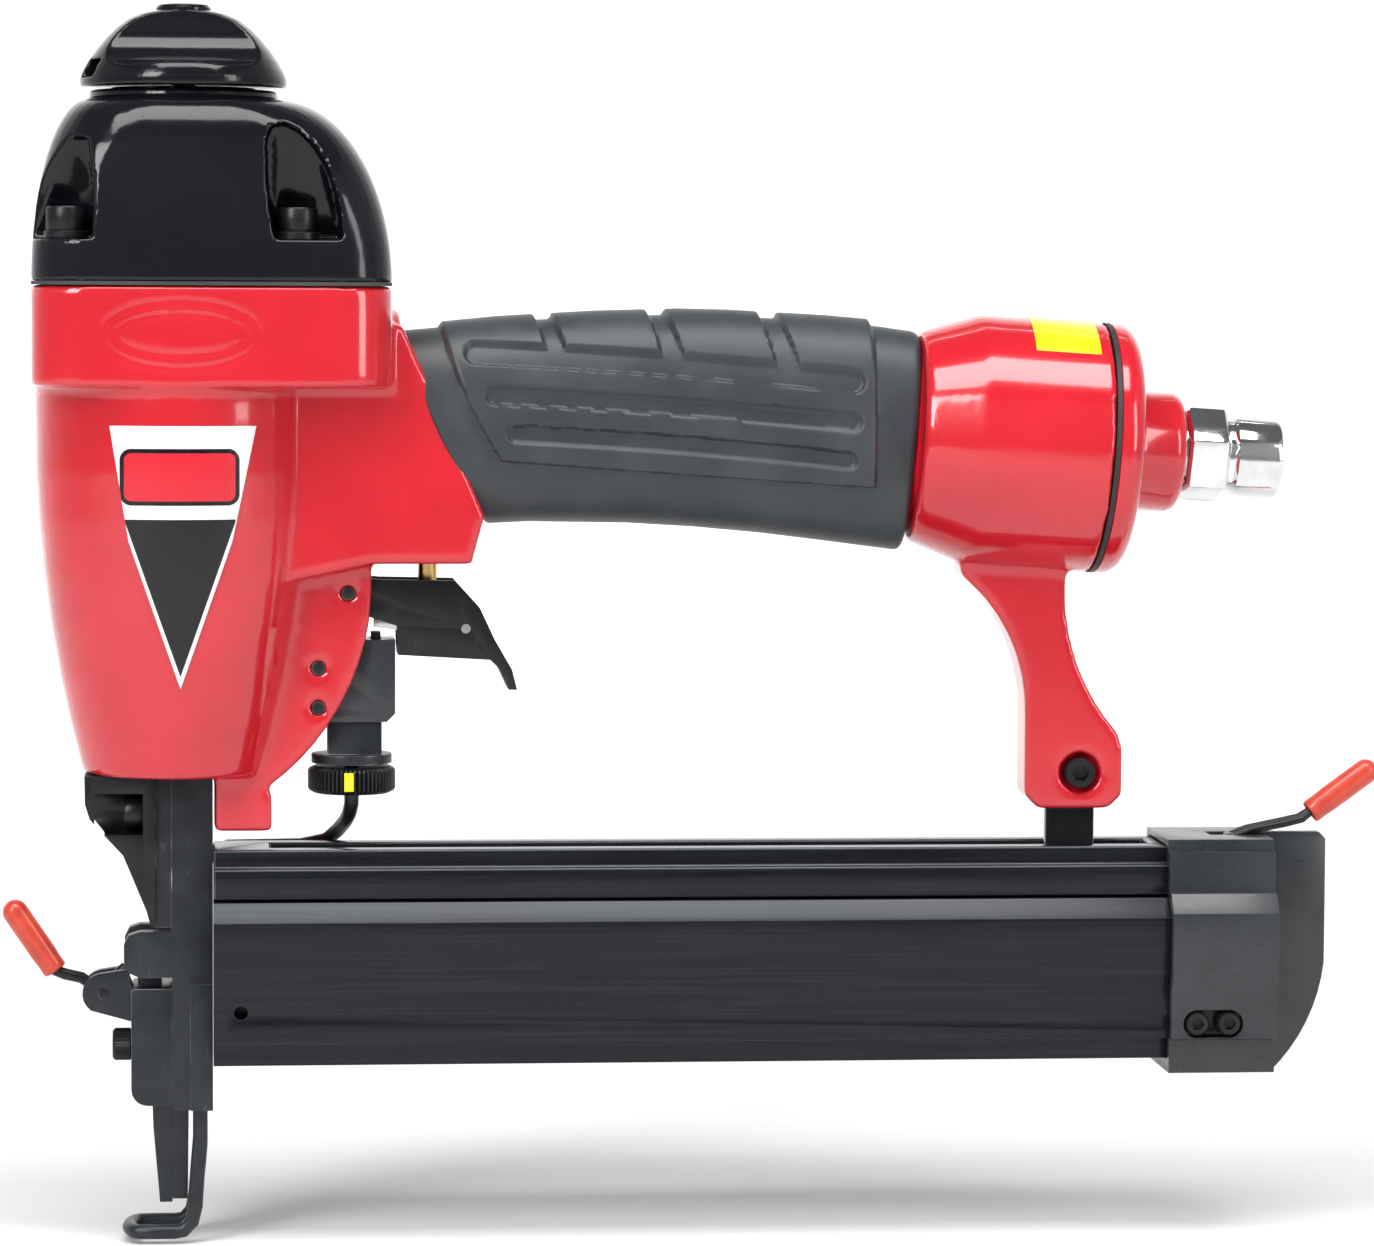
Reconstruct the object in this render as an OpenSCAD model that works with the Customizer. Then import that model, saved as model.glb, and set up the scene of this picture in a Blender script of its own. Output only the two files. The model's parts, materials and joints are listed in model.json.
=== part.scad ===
// Pneumatic brad nailer and stapler.
// Origin: on the driver blade, level with the underside of the contact foot.
// +Z runs up the cylinder, +X runs back along the handle, -Y is the left-hand side.

/* [Cylinder] */
// Bore of the cylinder
bore_d = 29; // [26:0.5:31]
// Wall of the cylinder sleeve
sleeve_wall = 2; // [1.5:0.1:2.5]
// Travel of the piston and driver blade
stroke = 74; // [60:1:74]
// Height of the piston head
piston_h = 12; // [9:1:14]
// Height of the rubber bumper under the piston
bumper_h = 11.9; // [9:0.1:13]
// Thickness of the driver blade
blade_t = 1.25; // [1:0.05:1.35]
// Width of the driver blade
blade_w = 5.6; // [4.6:0.1:5.8]

/* [Barrel] */
// Radius of the barrel at the head
barrel_r = 29.5; // [27:0.1:29.8]
// Radius of the barrel where it meets the nose
barrel_end_r = 19.5; // [19:0.1:22]
// Wall of the cast body
cast_wall = 4; // [3:0.5:5]
// Length of the cast barrel from nose to head joint
barrel_len = 104; // [102:1:118]

/* [Head] */
// Width of the head across the tool
head_w = 61; // [60:0.5:66]
// Reach of the head behind the driver
head_rear = 45.4; // [43:0.2:48]
// Height of the head cap
cap_h = 38.6; // [36:0.1:46]
// Thickness of the head gasket
gasket_t = 0.8; // [0.5:0.1:1.5]
// Thread diameter of the head screws
head_screw_d = 5; // [4:0.5:5]
// Radius of the exhaust deflector at its rim
deflector_r = 21.8; // [19:0.2:24]
// Height of the exhaust deflector
deflector_h = 18.3; // [15:0.1:22]

/* [Handle] */
// Length of the handle from the head to the bulb
handle_len = 110; // [100:1:132]
// Downward slope of the handle in degrees
handle_tilt = 3.6; // [0:0.2:4]
// Height of the rubber grip
grip_h = 46; // [42:0.5:52]
// Width of the rubber grip
grip_w = 35; // [32:0.5:42]
// Thickness of the rubber grip
grip_t = 3.5; // [2.5:0.1:4.5]
// Diameter of the bulb at the end of the handle
bulb_d = 54; // [50:1:64]
// Length of the bulb
bulb_len = 40; // [36:1:48]

/* [Air inlet] */
// Size of the inlet hexagon across its flats
inlet_hex = 18; // [16:1:21]
// Bore of the female inlet thread
inlet_bore_d = 11.45; // [11.45:0.05:13.15]
// Depth of the female inlet thread
inlet_depth = 14; // [10:1:18]

/* [Trigger] */
// Width of the trigger channel
trigger_w = 12; // [10:0.5:14]
// Thickness of the trigger plate
trigger_t = 1.4; // [1:0.1:1.6]
// Diameter of the trigger pin and the guide pins
pin_d = 3; // [2:0.5:3.5]
// Diameter of the brass valve stem
stem_d = 4; // [3:0.2:4.8]

/* [Contact safety] */
// Travel of the contact foot
safety_travel = 6.5; // [4:0.5:6.5]
// Diameter of the contact foot wire
wire_d = 3.2; // [2.6:0.1:3.4]
// Diameter of the depth wheel
wheel_d = 18.8; // [16:0.2:21]
// Height of the depth wheel
wheel_h = 5.8; // [5:0.1:6.4]

/* [Nose] */
// Width of the nose plates
nose_w = 18; // [17:0.5:21]
// Thickness of the rear nose plate behind the driver
nose_t = 7.9; // [7.5:0.1:9]
// Distance across the two bars of the contact foot
foot_w = 13.8; // [12.8:0.2:14.2]

/* [Magazine] */
// Length of the magazine rail
rail_len = 214; // [190:1:250]
// Half width of the magazine cover at its widest
cover_half = 17; // [15.5:0.5:20]
// Travel of the magazine cover when it is pulled back
cover_travel = 110; // [60:5:120]
// Length of the moulded end cap
endcap_len = 23; // [20:1:28]
// Wall of the moulded end cap
endcap_wall = 2.6; // [2:0.1:3.5]

/* [Hidden] */

$fn = 64;
// Overlap that carries a cut clear of a face
eps = 0.1;
// Radial clearance of a pin or shaft in its hole
run = 0.05;
// Gap between parts that slide past each other
slip = 0.3;

// Heights of the main joints
nose_z = 99.5;
seam_z = nose_z + barrel_len;
gasket_z = seam_z - gasket_t / 2;
cap_z = seam_z + gasket_t / 2;
cap_top = seam_z + cap_h;
head_z = seam_z - 21.5;
barrel_full_z = seam_z - 31.5;
head_front = barrel_r + 0.2;
head_corner = 12;

// Cylinder, from the floor of the barrel upwards
floor_z = nose_z + 4.5;
bore_r = bore_d / 2;
sleeve_r = bore_r + sleeve_wall;
sleeve_top = seam_z + 1.1;
seat_h = 20;
piston_z = floor_z + bumper_h + stroke + 0.4;
boss_r = 4.4;
boss_h = 6;
blade_tip_z = nose_z - 19.1 + stroke - 74;

// Head screws and their pockets
screw_xy = [[-22.2, head_w / 2 - 8], [25.5, head_w / 2 - 8]];
pocket_z = seam_z + 9.1;
head_screw_len = 24;
m5_head_r = head_screw_d * 0.85;
washer_t = 1.7;
cavity_r = 21;
cavity_h = 22;
valve_r = cavity_r - slip;
valve_lift = 3;
port_r = 9;

// Exhaust deflector
deflector_x = 1.9;
deflector_z = cap_top + 2.2;
neck_r = deflector_r - 2;
plug_r = 5.8;

// Handle axis: passes the head at handle_x, handle_z and falls to the rear
handle_x = 48;
handle_z = 178.5;
bulb_x = handle_len;
handle_end = bulb_x + bulb_len;
grip_x0 = 3;
grip_x1 = handle_len - 1;
core_h = grip_h - 2 * grip_t;
core_w = grip_w - 2 * grip_t;
neck_half = core_w / 2 + 1;
bulb_r = bulb_d / 2;
boss_len = 9.5;
inlet_boss_r = 12.9;
inlet_thread_r = 7.2;

// Trigger pivot, trip pin and valve axis
pivot = [36.5, 138.1];
trip = [61.6, 130.4];
valve_x = 53.65;
block_z = 144.6;
slot_half = trigger_w / 2 + 0.25;
cheek_half = slot_half + 2.8;
pin_r = pin_d / 2;
stem_r = stem_d / 2;
stem_z = 135.6;
stem_head_z = block_z + 4.9;
valve_top = block_z + 18.4;
valve_body_r = 6;

// Safety stem and its guide
guide_pins_xz = [[30.2, 122.2], [30.2, 113.7]];
guide_z0 = 110.5;
guide_z1 = 128;
safety_x = 37.5;
stem_x0 = 32.3;
stem_x1 = 43.8;
stem_half = slot_half - 1.65;
stem_top = 118;
guide_roof = stem_top + safety_travel + 1;
tongue_x0 = 41.6;
tongue_top = 129.5;
wheel_z = 95;
wheel_r = wheel_d / 2;
collar_z = wheel_z + wheel_h + 0.6;
collar_r = wheel_r - 0.8;
collar_h = 2;
rod_top = 112;

// Nose
split_x = -blade_t / 2 - 0.05;
nose_half = nose_w / 2;
plate_x = -4.3;
block_bottom = 28;
tip_z = 8.4;
foot_half = foot_w / 2;
foot_r = wire_d / 2;
leg_x = 5.2;
leg_top = 34;
hinge = [-5.5, 60.8];
hinge_r = 1.5;
lug_in = 5;
clevis = [-15.4, 52.4];
clevis_r = 1.1;
latch_axis = [[-25.5, 57], [-34.3, 70]];
sleeve_rr = 2.75;
nose_screw_y = 6;
nose_screw_z = 91.4;

// Magazine, as heights and half widths of its steps
rail_x0 = nose_t + 0.1;
rail_x1 = rail_x0 + rail_len;
rail_top = 83.6;
rail_step = 79.7;
rail_low = 73.2;
rail_half = 10;
rail_half_low = 12;
cover_z1 = 72.8;
cover_z0 = 38;
cover_mid = cover_half - 1.5;
cover_foot = cover_half - 4;
channel_half = 8;
channel_z0 = 44;
endcap_x0 = rail_x1 - 9.5;
endcap_x1 = endcap_x0 + endcap_len;
endcap_top = rail_top + 1.6;
plate_end = endcap_x1 + 13.9;
mlatch = [endcap_x0 + 16, 83.4];
mlatch_slot = 3.4;
mlatch_r = 1;
strap_x0 = 187.6;
strap_w = 10.6;
arm_half = 6.5;
arm_hole = [194.2, 99.1];
arm_shift = bulb_x - 110;
arm_screw_r = 2;

// Point on a circle
function polar(c, r, a) = [c[0] + r * cos(a), c[1] + r * sin(a)];
// Points along an arc from angle a0 to a1
function arc(c, r, a0, a1, n = 10) = [for (i = [0:n]) polar(c, r, a0 + (a1 - a0) * i / n)];
// Radius of the barrel at height z
function barrel_at(z) = barrel_r - (barrel_r - barrel_end_r)
  * pow(max(0, barrel_full_z - z) / (barrel_full_z - nose_z), 2);
// Height of the handle axis at distance x along the tool
function handle_at(x) = handle_z - (x - handle_x) * tan(handle_tilt);
// Unit vector
function unit(v) = v / norm(v);
// Direction of a path at point i
function heading(p, i) = unit(p[min(i + 1, len(p) - 1)] - p[max(i - 1, 0)]);
// Side vectors that turn with the path as little as they can
function sides(p, i, s) = i >= len(p) ? [] :
  let (t = heading(p, i), n = unit(s - t * (s * t))) concat([n], sides(p, i + 1, n));
// Points of a coil of the given turns
function coil(r, z0, z1, turns, per = 12) = [for (i = [0:turns * per])
  [r * cos(360 * i / per), r * sin(360 * i / per), z0 + (z1 - z0) * i / (turns * per)]];

// Solid tube swept along a list of points
module tube(path, r, n = 12, first = [0, 1, 0]) {
  s = sides(path, 0, first);
  rings = [for (i = [0:len(path) - 1], k = [0:n - 1])
    let (t = heading(path, i), b = cross(t, s[i]), a = 360 * k / n)
    path[i] + r * cos(a) * s[i] + r * sin(a) * b];
  walls = [for (i = [0:len(path) - 2], k = [0:n - 1]) let (m = (k + 1) % n)
    [i * n + k, i * n + n + k, i * n + n + m, i * n + m]];
  caps = [[for (k = [0:n - 1]) k], [for (k = [n - 1:-1:0]) (len(path) - 1) * n + k]];
  polyhedron(rings, concat(walls, caps), convexity = 4);
}

// Outline in the side view, given thickness across the tool
module side_plate(pts, y0, y1) {
  translate([0, y1, 0]) rotate([90, 0, 0]) linear_extrude(y1 - y0) polygon(pts);
}

// The same plate on the left and on the right
module both_sides() {
  children();
  mirror([0, 1, 0]) children();
}

// Cylinder across the tool, centred on its middle plane
module cross_pin(at, r, half) {
  translate([at[0], half, at[1]]) rotate([90, 0, 0]) cylinder(r = r, h = 2 * half);
}

// Cylinder along +X
module x_pin(at, r, len) {
  translate(at) rotate([0, 90, 0]) cylinder(r = r, h = len);
}

// Rectangle with four round corners, in plan
module round_rect(x0, x1, half, rc) {
  translate([x0 + rc, -half]) square([x1 - x0 - 2 * rc, 2 * half]);
  translate([x0, -half + rc]) square([x1 - x0, 2 * half - 2 * rc]);
  for (x = [x0 + rc, x1 - rc], y = [-half + rc, half - rc]) translate([x, y]) circle(rc);
}

// Plan of the head joint
module head_plan() {
  round_rect(-head_front, head_rear, head_w / 2, head_corner);
}

// Upright oval made of a rectangle and two round ends
module stadium(h, w) {
  square([h - w, w], center = true);
  for (s = [-1, 1]) translate([s * (h - w) / 2, 0]) circle(w / 2);
}

// Frame of the handle: local x runs back along its axis
module on_handle(x = 0) {
  translate([handle_x, 0, handle_z]) rotate([0, handle_tilt, 0]) translate([x, 0, 0]) children();
}

// Prism along the handle with an upright oval section
module handle_prism(x0, x1, h, w) {
  on_handle(x0) rotate([0, 90, 0]) linear_extrude(x1 - x0) stadium(h, w);
}

// Cap screw pointing down, its seat at the origin
module cap_screw(d, len, key = true) {
  difference() {
    union() {
      cylinder(d = d * 1.7, h = d);
      translate([0, 0, -len]) cylinder(d = d, h = len + eps);
    }
    if (key) translate([0, 0, d * 0.5]) cylinder(d = d * 0.92, h = d, $fn = 6);
  }
}

// Children at all four head screws
module at_head_screws(z) {
  for (p = screw_xy, s = [-1, 1]) translate([p[0], s * p[1], z]) children();
}

// Outside of the tapered barrel
module barrel_solid(shrink, z0, z1) {
  steps = 8;
  rotate_extrude() polygon(concat([[0, z0]],
    [for (i = [0:steps]) let (z = z0 + (z1 - z0) * i / steps) [barrel_at(z) - shrink, z]],
    [[0, z1]]));
}

// Rear web with the curved edge that the trigger and the guide sit in
module rear_web() {
  c = [-11.9, 140.1];
  edge = arc(c, 53.5, 5, -54, 12);
  side_plate(concat([[0, 150]], [[edge[0][0], 150]], edge,
    [[20.4, 95], [20.4, 87.5], [7.9 + slip, 87.5], [7.9 + slip, nose_z], [0, nose_z]]),
    -cheek_half, cheek_half);
}

// Neck that joins the barrel to the handle, with the valve block below it
module neck_solid() {
  top = handle_at(60) + core_h / 2;
  side_plate([[8, head_z + 4], [40, head_z + 12], [handle_x + 12, top],
    [handle_x + 18, handle_at(66) - core_h / 2], [62.4, block_z], [42, block_z], [20, 140]],
    -neck_half, neck_half);
}

// Arm that hangs from the bulb and carries the magazine
// Moves the upper points of the arm's outline along with the bulb
function with_bulb(p) = [p[0] + arm_shift * min(1, max(0, (p[1] - 110) / 32)), p[1]];

module arm_solid() {
  top = handle_at(178);
  outline = concat([[166, top], [168, 142]], arc([144.8, 112.6], 37.4, 41, -2, 6),
    [[182.2, 94.5], [185.2, 91.3], [200.4, 91.3], [203.4, 94.3], [203.4, 104.5]],
    arc([236.8, 138.4], 46.1, 222, 179, 8), [[191, 143], [193, top]]);
  side_plate([for (p = outline) with_bulb(p)], -arm_half, arm_half);
}

// Space that the depth wheel and the stem's collar sweep as the contact safety moves
module wheel_room() {
  translate([safety_x, 0, wheel_z - 10])
    cylinder(r = wheel_r + slip, h = 10 + wheel_h + safety_travel + slip);
  translate([safety_x, 0, wheel_z])
    cylinder(r = collar_r + slip, h = collar_z + collar_h + safety_travel + slip - wheel_z);
}

module main_housing() {
  color("crimson") difference() {
    union() {
      translate([0, 0, head_z]) linear_extrude(gasket_z - head_z) head_plan();
      barrel_solid(0, nose_z, head_z + 4);
      rear_web();
      neck_solid();
      handle_prism(-12, bulb_x + 4, core_h, core_w);
      on_handle(bulb_x) rotate([0, 90, 0]) cylinder(r1 = core_h / 2 + 3, r2 = bulb_r, h = 13);
      on_handle(bulb_x + 13) rotate([0, 90, 0]) cylinder(r = bulb_r, h = bulb_len - 13);
      arm_solid();
    }
    barrel_solid(cast_wall, floor_z + seat_h, head_z);
    translate([0, 0, head_z - eps]) cylinder(r = barrel_at(head_z) - cast_wall, h = 40);
    translate([0, 0, floor_z]) cylinder(r = sleeve_r + run, h = seat_h + eps);
    translate([-blade_t / 2 - 0.15, -blade_w / 2 - slip, nose_z - 1])
      cube([blade_t + 0.3, blade_w + 2 * slip, 10]);
    handle_prism(-32, bulb_x + 2, core_h - 2 * cast_wall, core_w - 2 * cast_wall);
    on_handle(bulb_x + 1) rotate([0, 90, 0])
      cylinder(r1 = core_h / 2 - cast_wall - 1.5, r2 = bulb_r - cast_wall, h = 12);
    on_handle(bulb_x + 12.9) rotate([0, 90, 0]) cylinder(r = bulb_r - cast_wall, h = bulb_len);
    at_head_screws(gasket_z - 14) cylinder(d = head_screw_d + 2 * run, h = 20);
    translate([valve_x, 0, block_z - eps]) cylinder(r = valve_body_r + run, h = 24);
    translate([26, -slot_half, 104]) cube([40, 2 * slot_half, block_z - 104]);
    cross_pin(pivot, pin_r + run, cheek_half + eps);
    for (p = guide_pins_xz) cross_pin(p, pin_r + run, cheek_half + eps);
    cross_pin(arm_hole, arm_screw_r + run, arm_half + eps);
    translate([arm_hole[0], -arm_half - eps, arm_hole[1]]) rotate([-90, 0, 0])
      cylinder(r = arm_screw_r * 2 + slip, h = 3 + eps);
    wheel_room();
    translate([strap_x0 - slip, -1.65, 91]) cube([strap_w + 2 * slip, 3.3, 13.3]);
  }
}

// Solid outline of the head cap
module cap_outline() {
  steps = 8;
  front_x = -18;
  rear_x = 22;
  shoulder = 10;
  side_z = seam_z + 8;
  front = [for (i = [0:steps]) let (a = 90 * i / steps)
    [front_x - (head_front + front_x) * cos(a), seam_z + cap_h * sin(a)]];
  rear = [for (i = [0:steps]) let (a = 90 - 90 * i / steps)
    [rear_x + (head_rear - rear_x) * cos(a), seam_z + cap_h * sin(a)]];
  across = [for (s = [-1, 1], i = [0:steps]) let (a = s < 0 ? 90 * i / steps : 90 - 90 * i / steps)
    [s * (head_w / 2 - shoulder + shoulder * cos(a)), side_z + (cap_top - side_z) * sin(a)]];
  intersection() {
    translate([0, 0, cap_z]) linear_extrude(cap_h) head_plan();
    side_plate(concat([[-head_front, seam_z]], front, rear, [[head_rear, seam_z]]),
      -head_w, head_w);
    translate([-80, 0, 0]) rotate([90, 0, 90]) linear_extrude(160)
      polygon(concat([[-head_w / 2, seam_z]], across, [[head_w / 2, seam_z]]));
  }
}

// Recess around a front head screw, open at the corner of the cap
module front_pocket() {
  r = m5_head_r + 1.6;
  x = screw_xy[0][0] + r;
  y = -screw_xy[0][1] + r;
  translate([x - 40, y - 40, 0]) cube([40, 40, 300]);
}

// Recess around a rear head screw, open at the side of the cap
module rear_pocket() {
  r = m5_head_r + 1.6;
  translate([screw_xy[1][0] - r, -screw_xy[1][1] + r - 40, 0]) cube([r + 8.2, 40, 300]);
}

// Slanted inner wall that closes a recess towards the top of the cap
module pocket_slope() {
  y = screw_xy[0][1] - m5_head_r - 1.6;
  translate([-80, 0, 0]) rotate([90, 0, 90]) linear_extrude(160)
    polygon([[-y, pocket_z], [-y, pocket_z + 10], [-y - 8, cap_top - 4], [-80, cap_top - 4],
      [-80, pocket_z]]);
}

module head_cap() {
  color("black") difference() {
    union() {
      cap_outline();
      translate([deflector_x, 0, cap_top - 3]) cylinder(r = neck_r, h = 5);
    }
    translate([0, 0, cap_z - eps]) cylinder(r = cavity_r, h = cavity_h + eps);
    translate([deflector_x, 0, cap_top - 14]) cylinder(d = head_screw_d + 2 * run, h = 20);
    for (a = [45:90:315]) translate([deflector_x + port_r * cos(a), port_r * sin(a), cap_z + 10])
      cylinder(r = 3, h = 60);
    at_head_screws(cap_z - eps) cylinder(d = head_screw_d + 2 * run, h = 20);
    both_sides() intersection() {
      union() {
        front_pocket();
        rear_pocket();
      }
      pocket_slope();
    }
  }
}

module head_gasket() {
  color("gray") difference() {
    translate([0, 0, gasket_z]) linear_extrude(gasket_t) head_plan();
    translate([0, 0, gasket_z - eps]) cylinder(r = cavity_r, h = 2);
    at_head_screws(gasket_z - eps) cylinder(d = head_screw_d + 2 * run, h = 2);
  }
}

module head_screws() {
  color("dimgray") at_head_screws(pocket_z + washer_t)
    cap_screw(head_screw_d, pocket_z + washer_t - gasket_z + 12);
}

module head_washers() {
  color("gray") at_head_screws(pocket_z) difference() {
    cylinder(r = m5_head_r + 0.4, h = washer_t);
    translate([0, 0, -eps]) cylinder(d = head_screw_d + 2 * run, h = 3);
  }
}

module exhaust_deflector() {
  rim = 2.6;
  rise = deflector_h - rim - 1.9;
  dome = [for (i = [0:9]) let (a = 84 * i / 9)
    [deflector_r * cos(a), deflector_z + rim + rise * sin(a) / sin(84)]];
  color("black") translate([deflector_x, 0, 0]) difference() {
    rotate_extrude() polygon(concat([[0, deflector_z + slip], [deflector_r, deflector_z + slip]],
      dome, [[0, deflector_z + rim + rise]]));
    translate([0, 0, deflector_z]) cylinder(r = neck_r - 5, h = 5);
    translate([0, 0, deflector_z - eps]) cylinder(d = head_screw_d + 2 * run, h = 30);
    translate([0, 0, deflector_z + 7.5]) cylinder(r = plug_r - 0.9, h = 20);
    translate([-30, -deflector_r - 1.5, deflector_z + 12]) rotate([0, 90, 0])
      cylinder(r = 9, h = 60);
    rotate([0, 0, 200]) translate([10, -4, deflector_z + 2]) cube([20, 8, 3.4]);
  }
}

module deflector_plug() {
  color("black") translate([deflector_x, 0, deflector_z + deflector_h - 2.6]) rotate_extrude()
    polygon([[0, -2.6], [plug_r - 1, -2.6], [plug_r - 1, 0.7], [plug_r, 0.7], [plug_r, 1.4],
      [plug_r - 1.2, 2.2], [0, 2.6]]);
}

module deflector_screw() {
  color("dimgray") translate([deflector_x, 0, deflector_z + 7.5 + slip])
    cap_screw(head_screw_d, 18);
}

module cylinder_sleeve() {
  groove = floor_z + seat_h - 6;
  color("silver") difference() {
    rotate_extrude() polygon([[bore_r, floor_z], [sleeve_r, floor_z], [sleeve_r, groove],
      [sleeve_r - 0.9, groove], [sleeve_r - 0.9, groove + 2], [sleeve_r, groove + 2],
      [sleeve_r, sleeve_top], [bore_r, sleeve_top]]);
    for (a = [0:60:300]) rotate([0, 0, a]) x_pin([5, 0, floor_z + seat_h + 10], 1.5, 30);
  }
}

module cylinder_seal() {
  color("black") translate([0, 0, floor_z + seat_h - 5.95]) difference() {
    cylinder(r = sleeve_r + run, h = 1.9);
    translate([0, 0, -eps]) cylinder(r = sleeve_r - 0.9, h = 3);
  }
}

module piston_bumper() {
  color("darkolivegreen") translate([0, 0, floor_z]) difference() {
    cylinder(r = bore_r - run, h = bumper_h);
    translate([0, 0, -eps]) cylinder(r = boss_r + 0.3, h = bumper_h + 1);
  }
}

module piston() {
  groove = piston_h / 2;
  color("silver") difference() {
    union() {
      translate([0, 0, piston_z]) cylinder(r = bore_r - run, h = piston_h);
      translate([0, 0, piston_z - boss_h]) cylinder(r = boss_r, h = boss_h + 1);
    }
    translate([0, 0, piston_z + piston_h - 3]) cylinder(r = bore_r - 5, h = 4);
    translate([0, 0, piston_z + groove - 1.2]) difference() {
      cylinder(r = bore_r + 1, h = 2.4);
      cylinder(r = bore_r - 2, h = 2.4);
    }
    translate([-blade_t / 2, -blade_w / 2, piston_z - boss_h - 1]) cube([blade_t, blade_w, boss_h + 5]);
  }
}

module piston_ring() {
  color("black") translate([0, 0, piston_z + piston_h / 2 - 1.2]) difference() {
    cylinder(r = bore_r - run, h = 2.4);
    translate([0, 0, -eps]) cylinder(r = bore_r - 2, h = 3);
  }
}

module driver_blade() {
  color("lightgray") translate([-blade_t / 2, -blade_w / 2, blade_tip_z])
    cube([blade_t, blade_w, piston_z + 4 - blade_tip_z]);
}

module head_valve() {
  color("white") difference() {
    translate([0, 0, sleeve_top + 2]) cylinder(r = valve_r, h = 9);
    translate([0, 0, sleeve_top + 1]) cylinder(r = bore_r - 2, h = 5);
    translate([0, 0, sleeve_top + 7]) cylinder(r = valve_r - 2.2, h = 5);
    translate([0, 0, sleeve_top]) cylinder(r = 5, h = 12);
  }
}

module head_valve_seal() {
  color("black") translate([0, 0, sleeve_top]) difference() {
    cylinder(r = sleeve_r + 1, h = 2);
    translate([0, 0, -eps]) cylinder(r = bore_r - 1, h = 3);
  }
}

module head_valve_spring() {
  color("silver") tube(coil(valve_r - 4, sleeve_top + 7.6, cap_z + cavity_h - 0.7, 3, 14), 0.6, 8,
    [1, 0, 0]);
}

module grip_sleeve() {
  color("darkslategray") difference() {
    handle_prism(grip_x0, grip_x1, grip_h, grip_w);
    handle_prism(grip_x0 - 1, grip_x1 + 1, core_h, core_w);
    on_handle(0) translate([-5, -40, -60]) cube([26, 80, 60 - grip_h / 2 + 10]);
    neck_solid();
    on_handle(bulb_x) rotate([0, 90, 0]) cylinder(r1 = core_h / 2 + 3, r2 = bulb_r, h = 13);
  }
}

module handle_end_cap() {
  color("crimson") on_handle(handle_end) difference() {
    rotate([0, 90, 0]) rotate_extrude() polygon([[0, -5], [bulb_r - cast_wall - run, -5],
      [bulb_r - cast_wall - run, 1], [bulb_r, 1], [bulb_r, 4], [bulb_r - 3, 7],
      [inlet_boss_r, 7.6], [inlet_boss_r, 7.5 + boss_len], [inlet_boss_r - 1.5, 9 + boss_len],
      [0, 9 + boss_len]]);
    x_pin([-6, 0, 0], inlet_thread_r + run, 40);
  }
}

module end_cap_seal() {
  color("black") on_handle(handle_end) rotate([0, 90, 0]) difference() {
    cylinder(r = bulb_r, h = 1);
    translate([0, 0, -1]) cylinder(r = bulb_r - cast_wall, h = 3);
  }
}

module inlet_adaptor() {
  face = 9.6 + boss_len;
  color("silver") on_handle(handle_end) difference() {
    union() {
      x_pin([face - 12, 0, 0], inlet_thread_r, 13);
      translate([face, 0, 0]) rotate([0, 90, 0]) cylinder(d = inlet_hex / cos(30), h = 9.4, $fn = 6);
      x_pin([face + 9, 0, 0], 8.5, 12);
    }
    x_pin([face + 21 - inlet_depth, 0, 0], inlet_bore_d / 2, inlet_depth + 1);
    x_pin([0, 0, 0], 4, 40);
  }
}

module trigger() {
  r = pin_r + 2;
  plate = concat(arc(pivot, r, 250, 80, 8), [[43.3, 140.9], [59.3, 140.6], [64.6, 134.8],
    [67.8, 128], [71.5, 121.6], [72.6, 117.3], [70.8, 117.3], [68.6, 122], [66.8, 123.7],
    [47.2, 124.8], [46.9, 131]]);
  web = [[47.2, 124.8], [47.2, 124.8 + trigger_t], [66.8, 123.7 + trigger_t],
    [68.9, 123.4], [71, 121.4], [72.6, 117.3], [70.8, 117.3], [68.6, 122], [66.8, 123.7]];
  half = trigger_w / 2;
  color("dimgray") difference() {
    union() {
      both_sides() side_plate(plate, -half, -half + trigger_t);
      side_plate(web, -half + 0.1, half - 0.1);
      cross_pin(pivot, r - 0.2, half);
    }
    cross_pin(pivot, pin_r + run, half + 1);
    cross_pin(trip, 1 + run, half + 1);
  }
}

module trigger_pin() {
  color("dimgray") cross_pin(pivot, pin_r, cheek_half);
}

module trip_lever() {
  half = trigger_w / 2 - trigger_t - slip;
  color("gray") difference() {
    side_plate(concat([[42.2, 130.6], [trip[0], 128.4]], arc(trip, 2, 270, 450, 6),
      [[42.2, 132.4]]), -half, half);
    cross_pin(trip, 1 + run, half + 1);
  }
}

module trip_pin() {
  color("silver") cross_pin(trip, 1, trigger_w / 2 + 0.2);
}

module trigger_valve_body() {
  color("dimgray") translate([valve_x, 0, 0]) difference() {
    translate([0, 0, block_z]) cylinder(r = valve_body_r, h = valve_top - block_z);
    translate([0, 0, block_z - 1]) cylinder(r = stem_r + run, h = 40);
    translate([0, 0, stem_head_z - 0.2]) cylinder(r = 4, h = 12.2);
  }
}

module trigger_valve_stem() {
  color("goldenrod") translate([valve_x, 0, 0]) {
    translate([0, 0, stem_z]) cylinder(r = stem_r, h = stem_head_z + 5 - stem_z);
    translate([0, 0, stem_head_z]) cylinder(r = 3.85, h = 3);
  }
}

module trigger_valve_spring() {
  color("silver") translate([valve_x, 0, 0])
    tube(coil(3.2, stem_head_z + 3.4, stem_head_z + 11.5, 4, 10), 0.35, 6, [1, 0, 0]);
}

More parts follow.
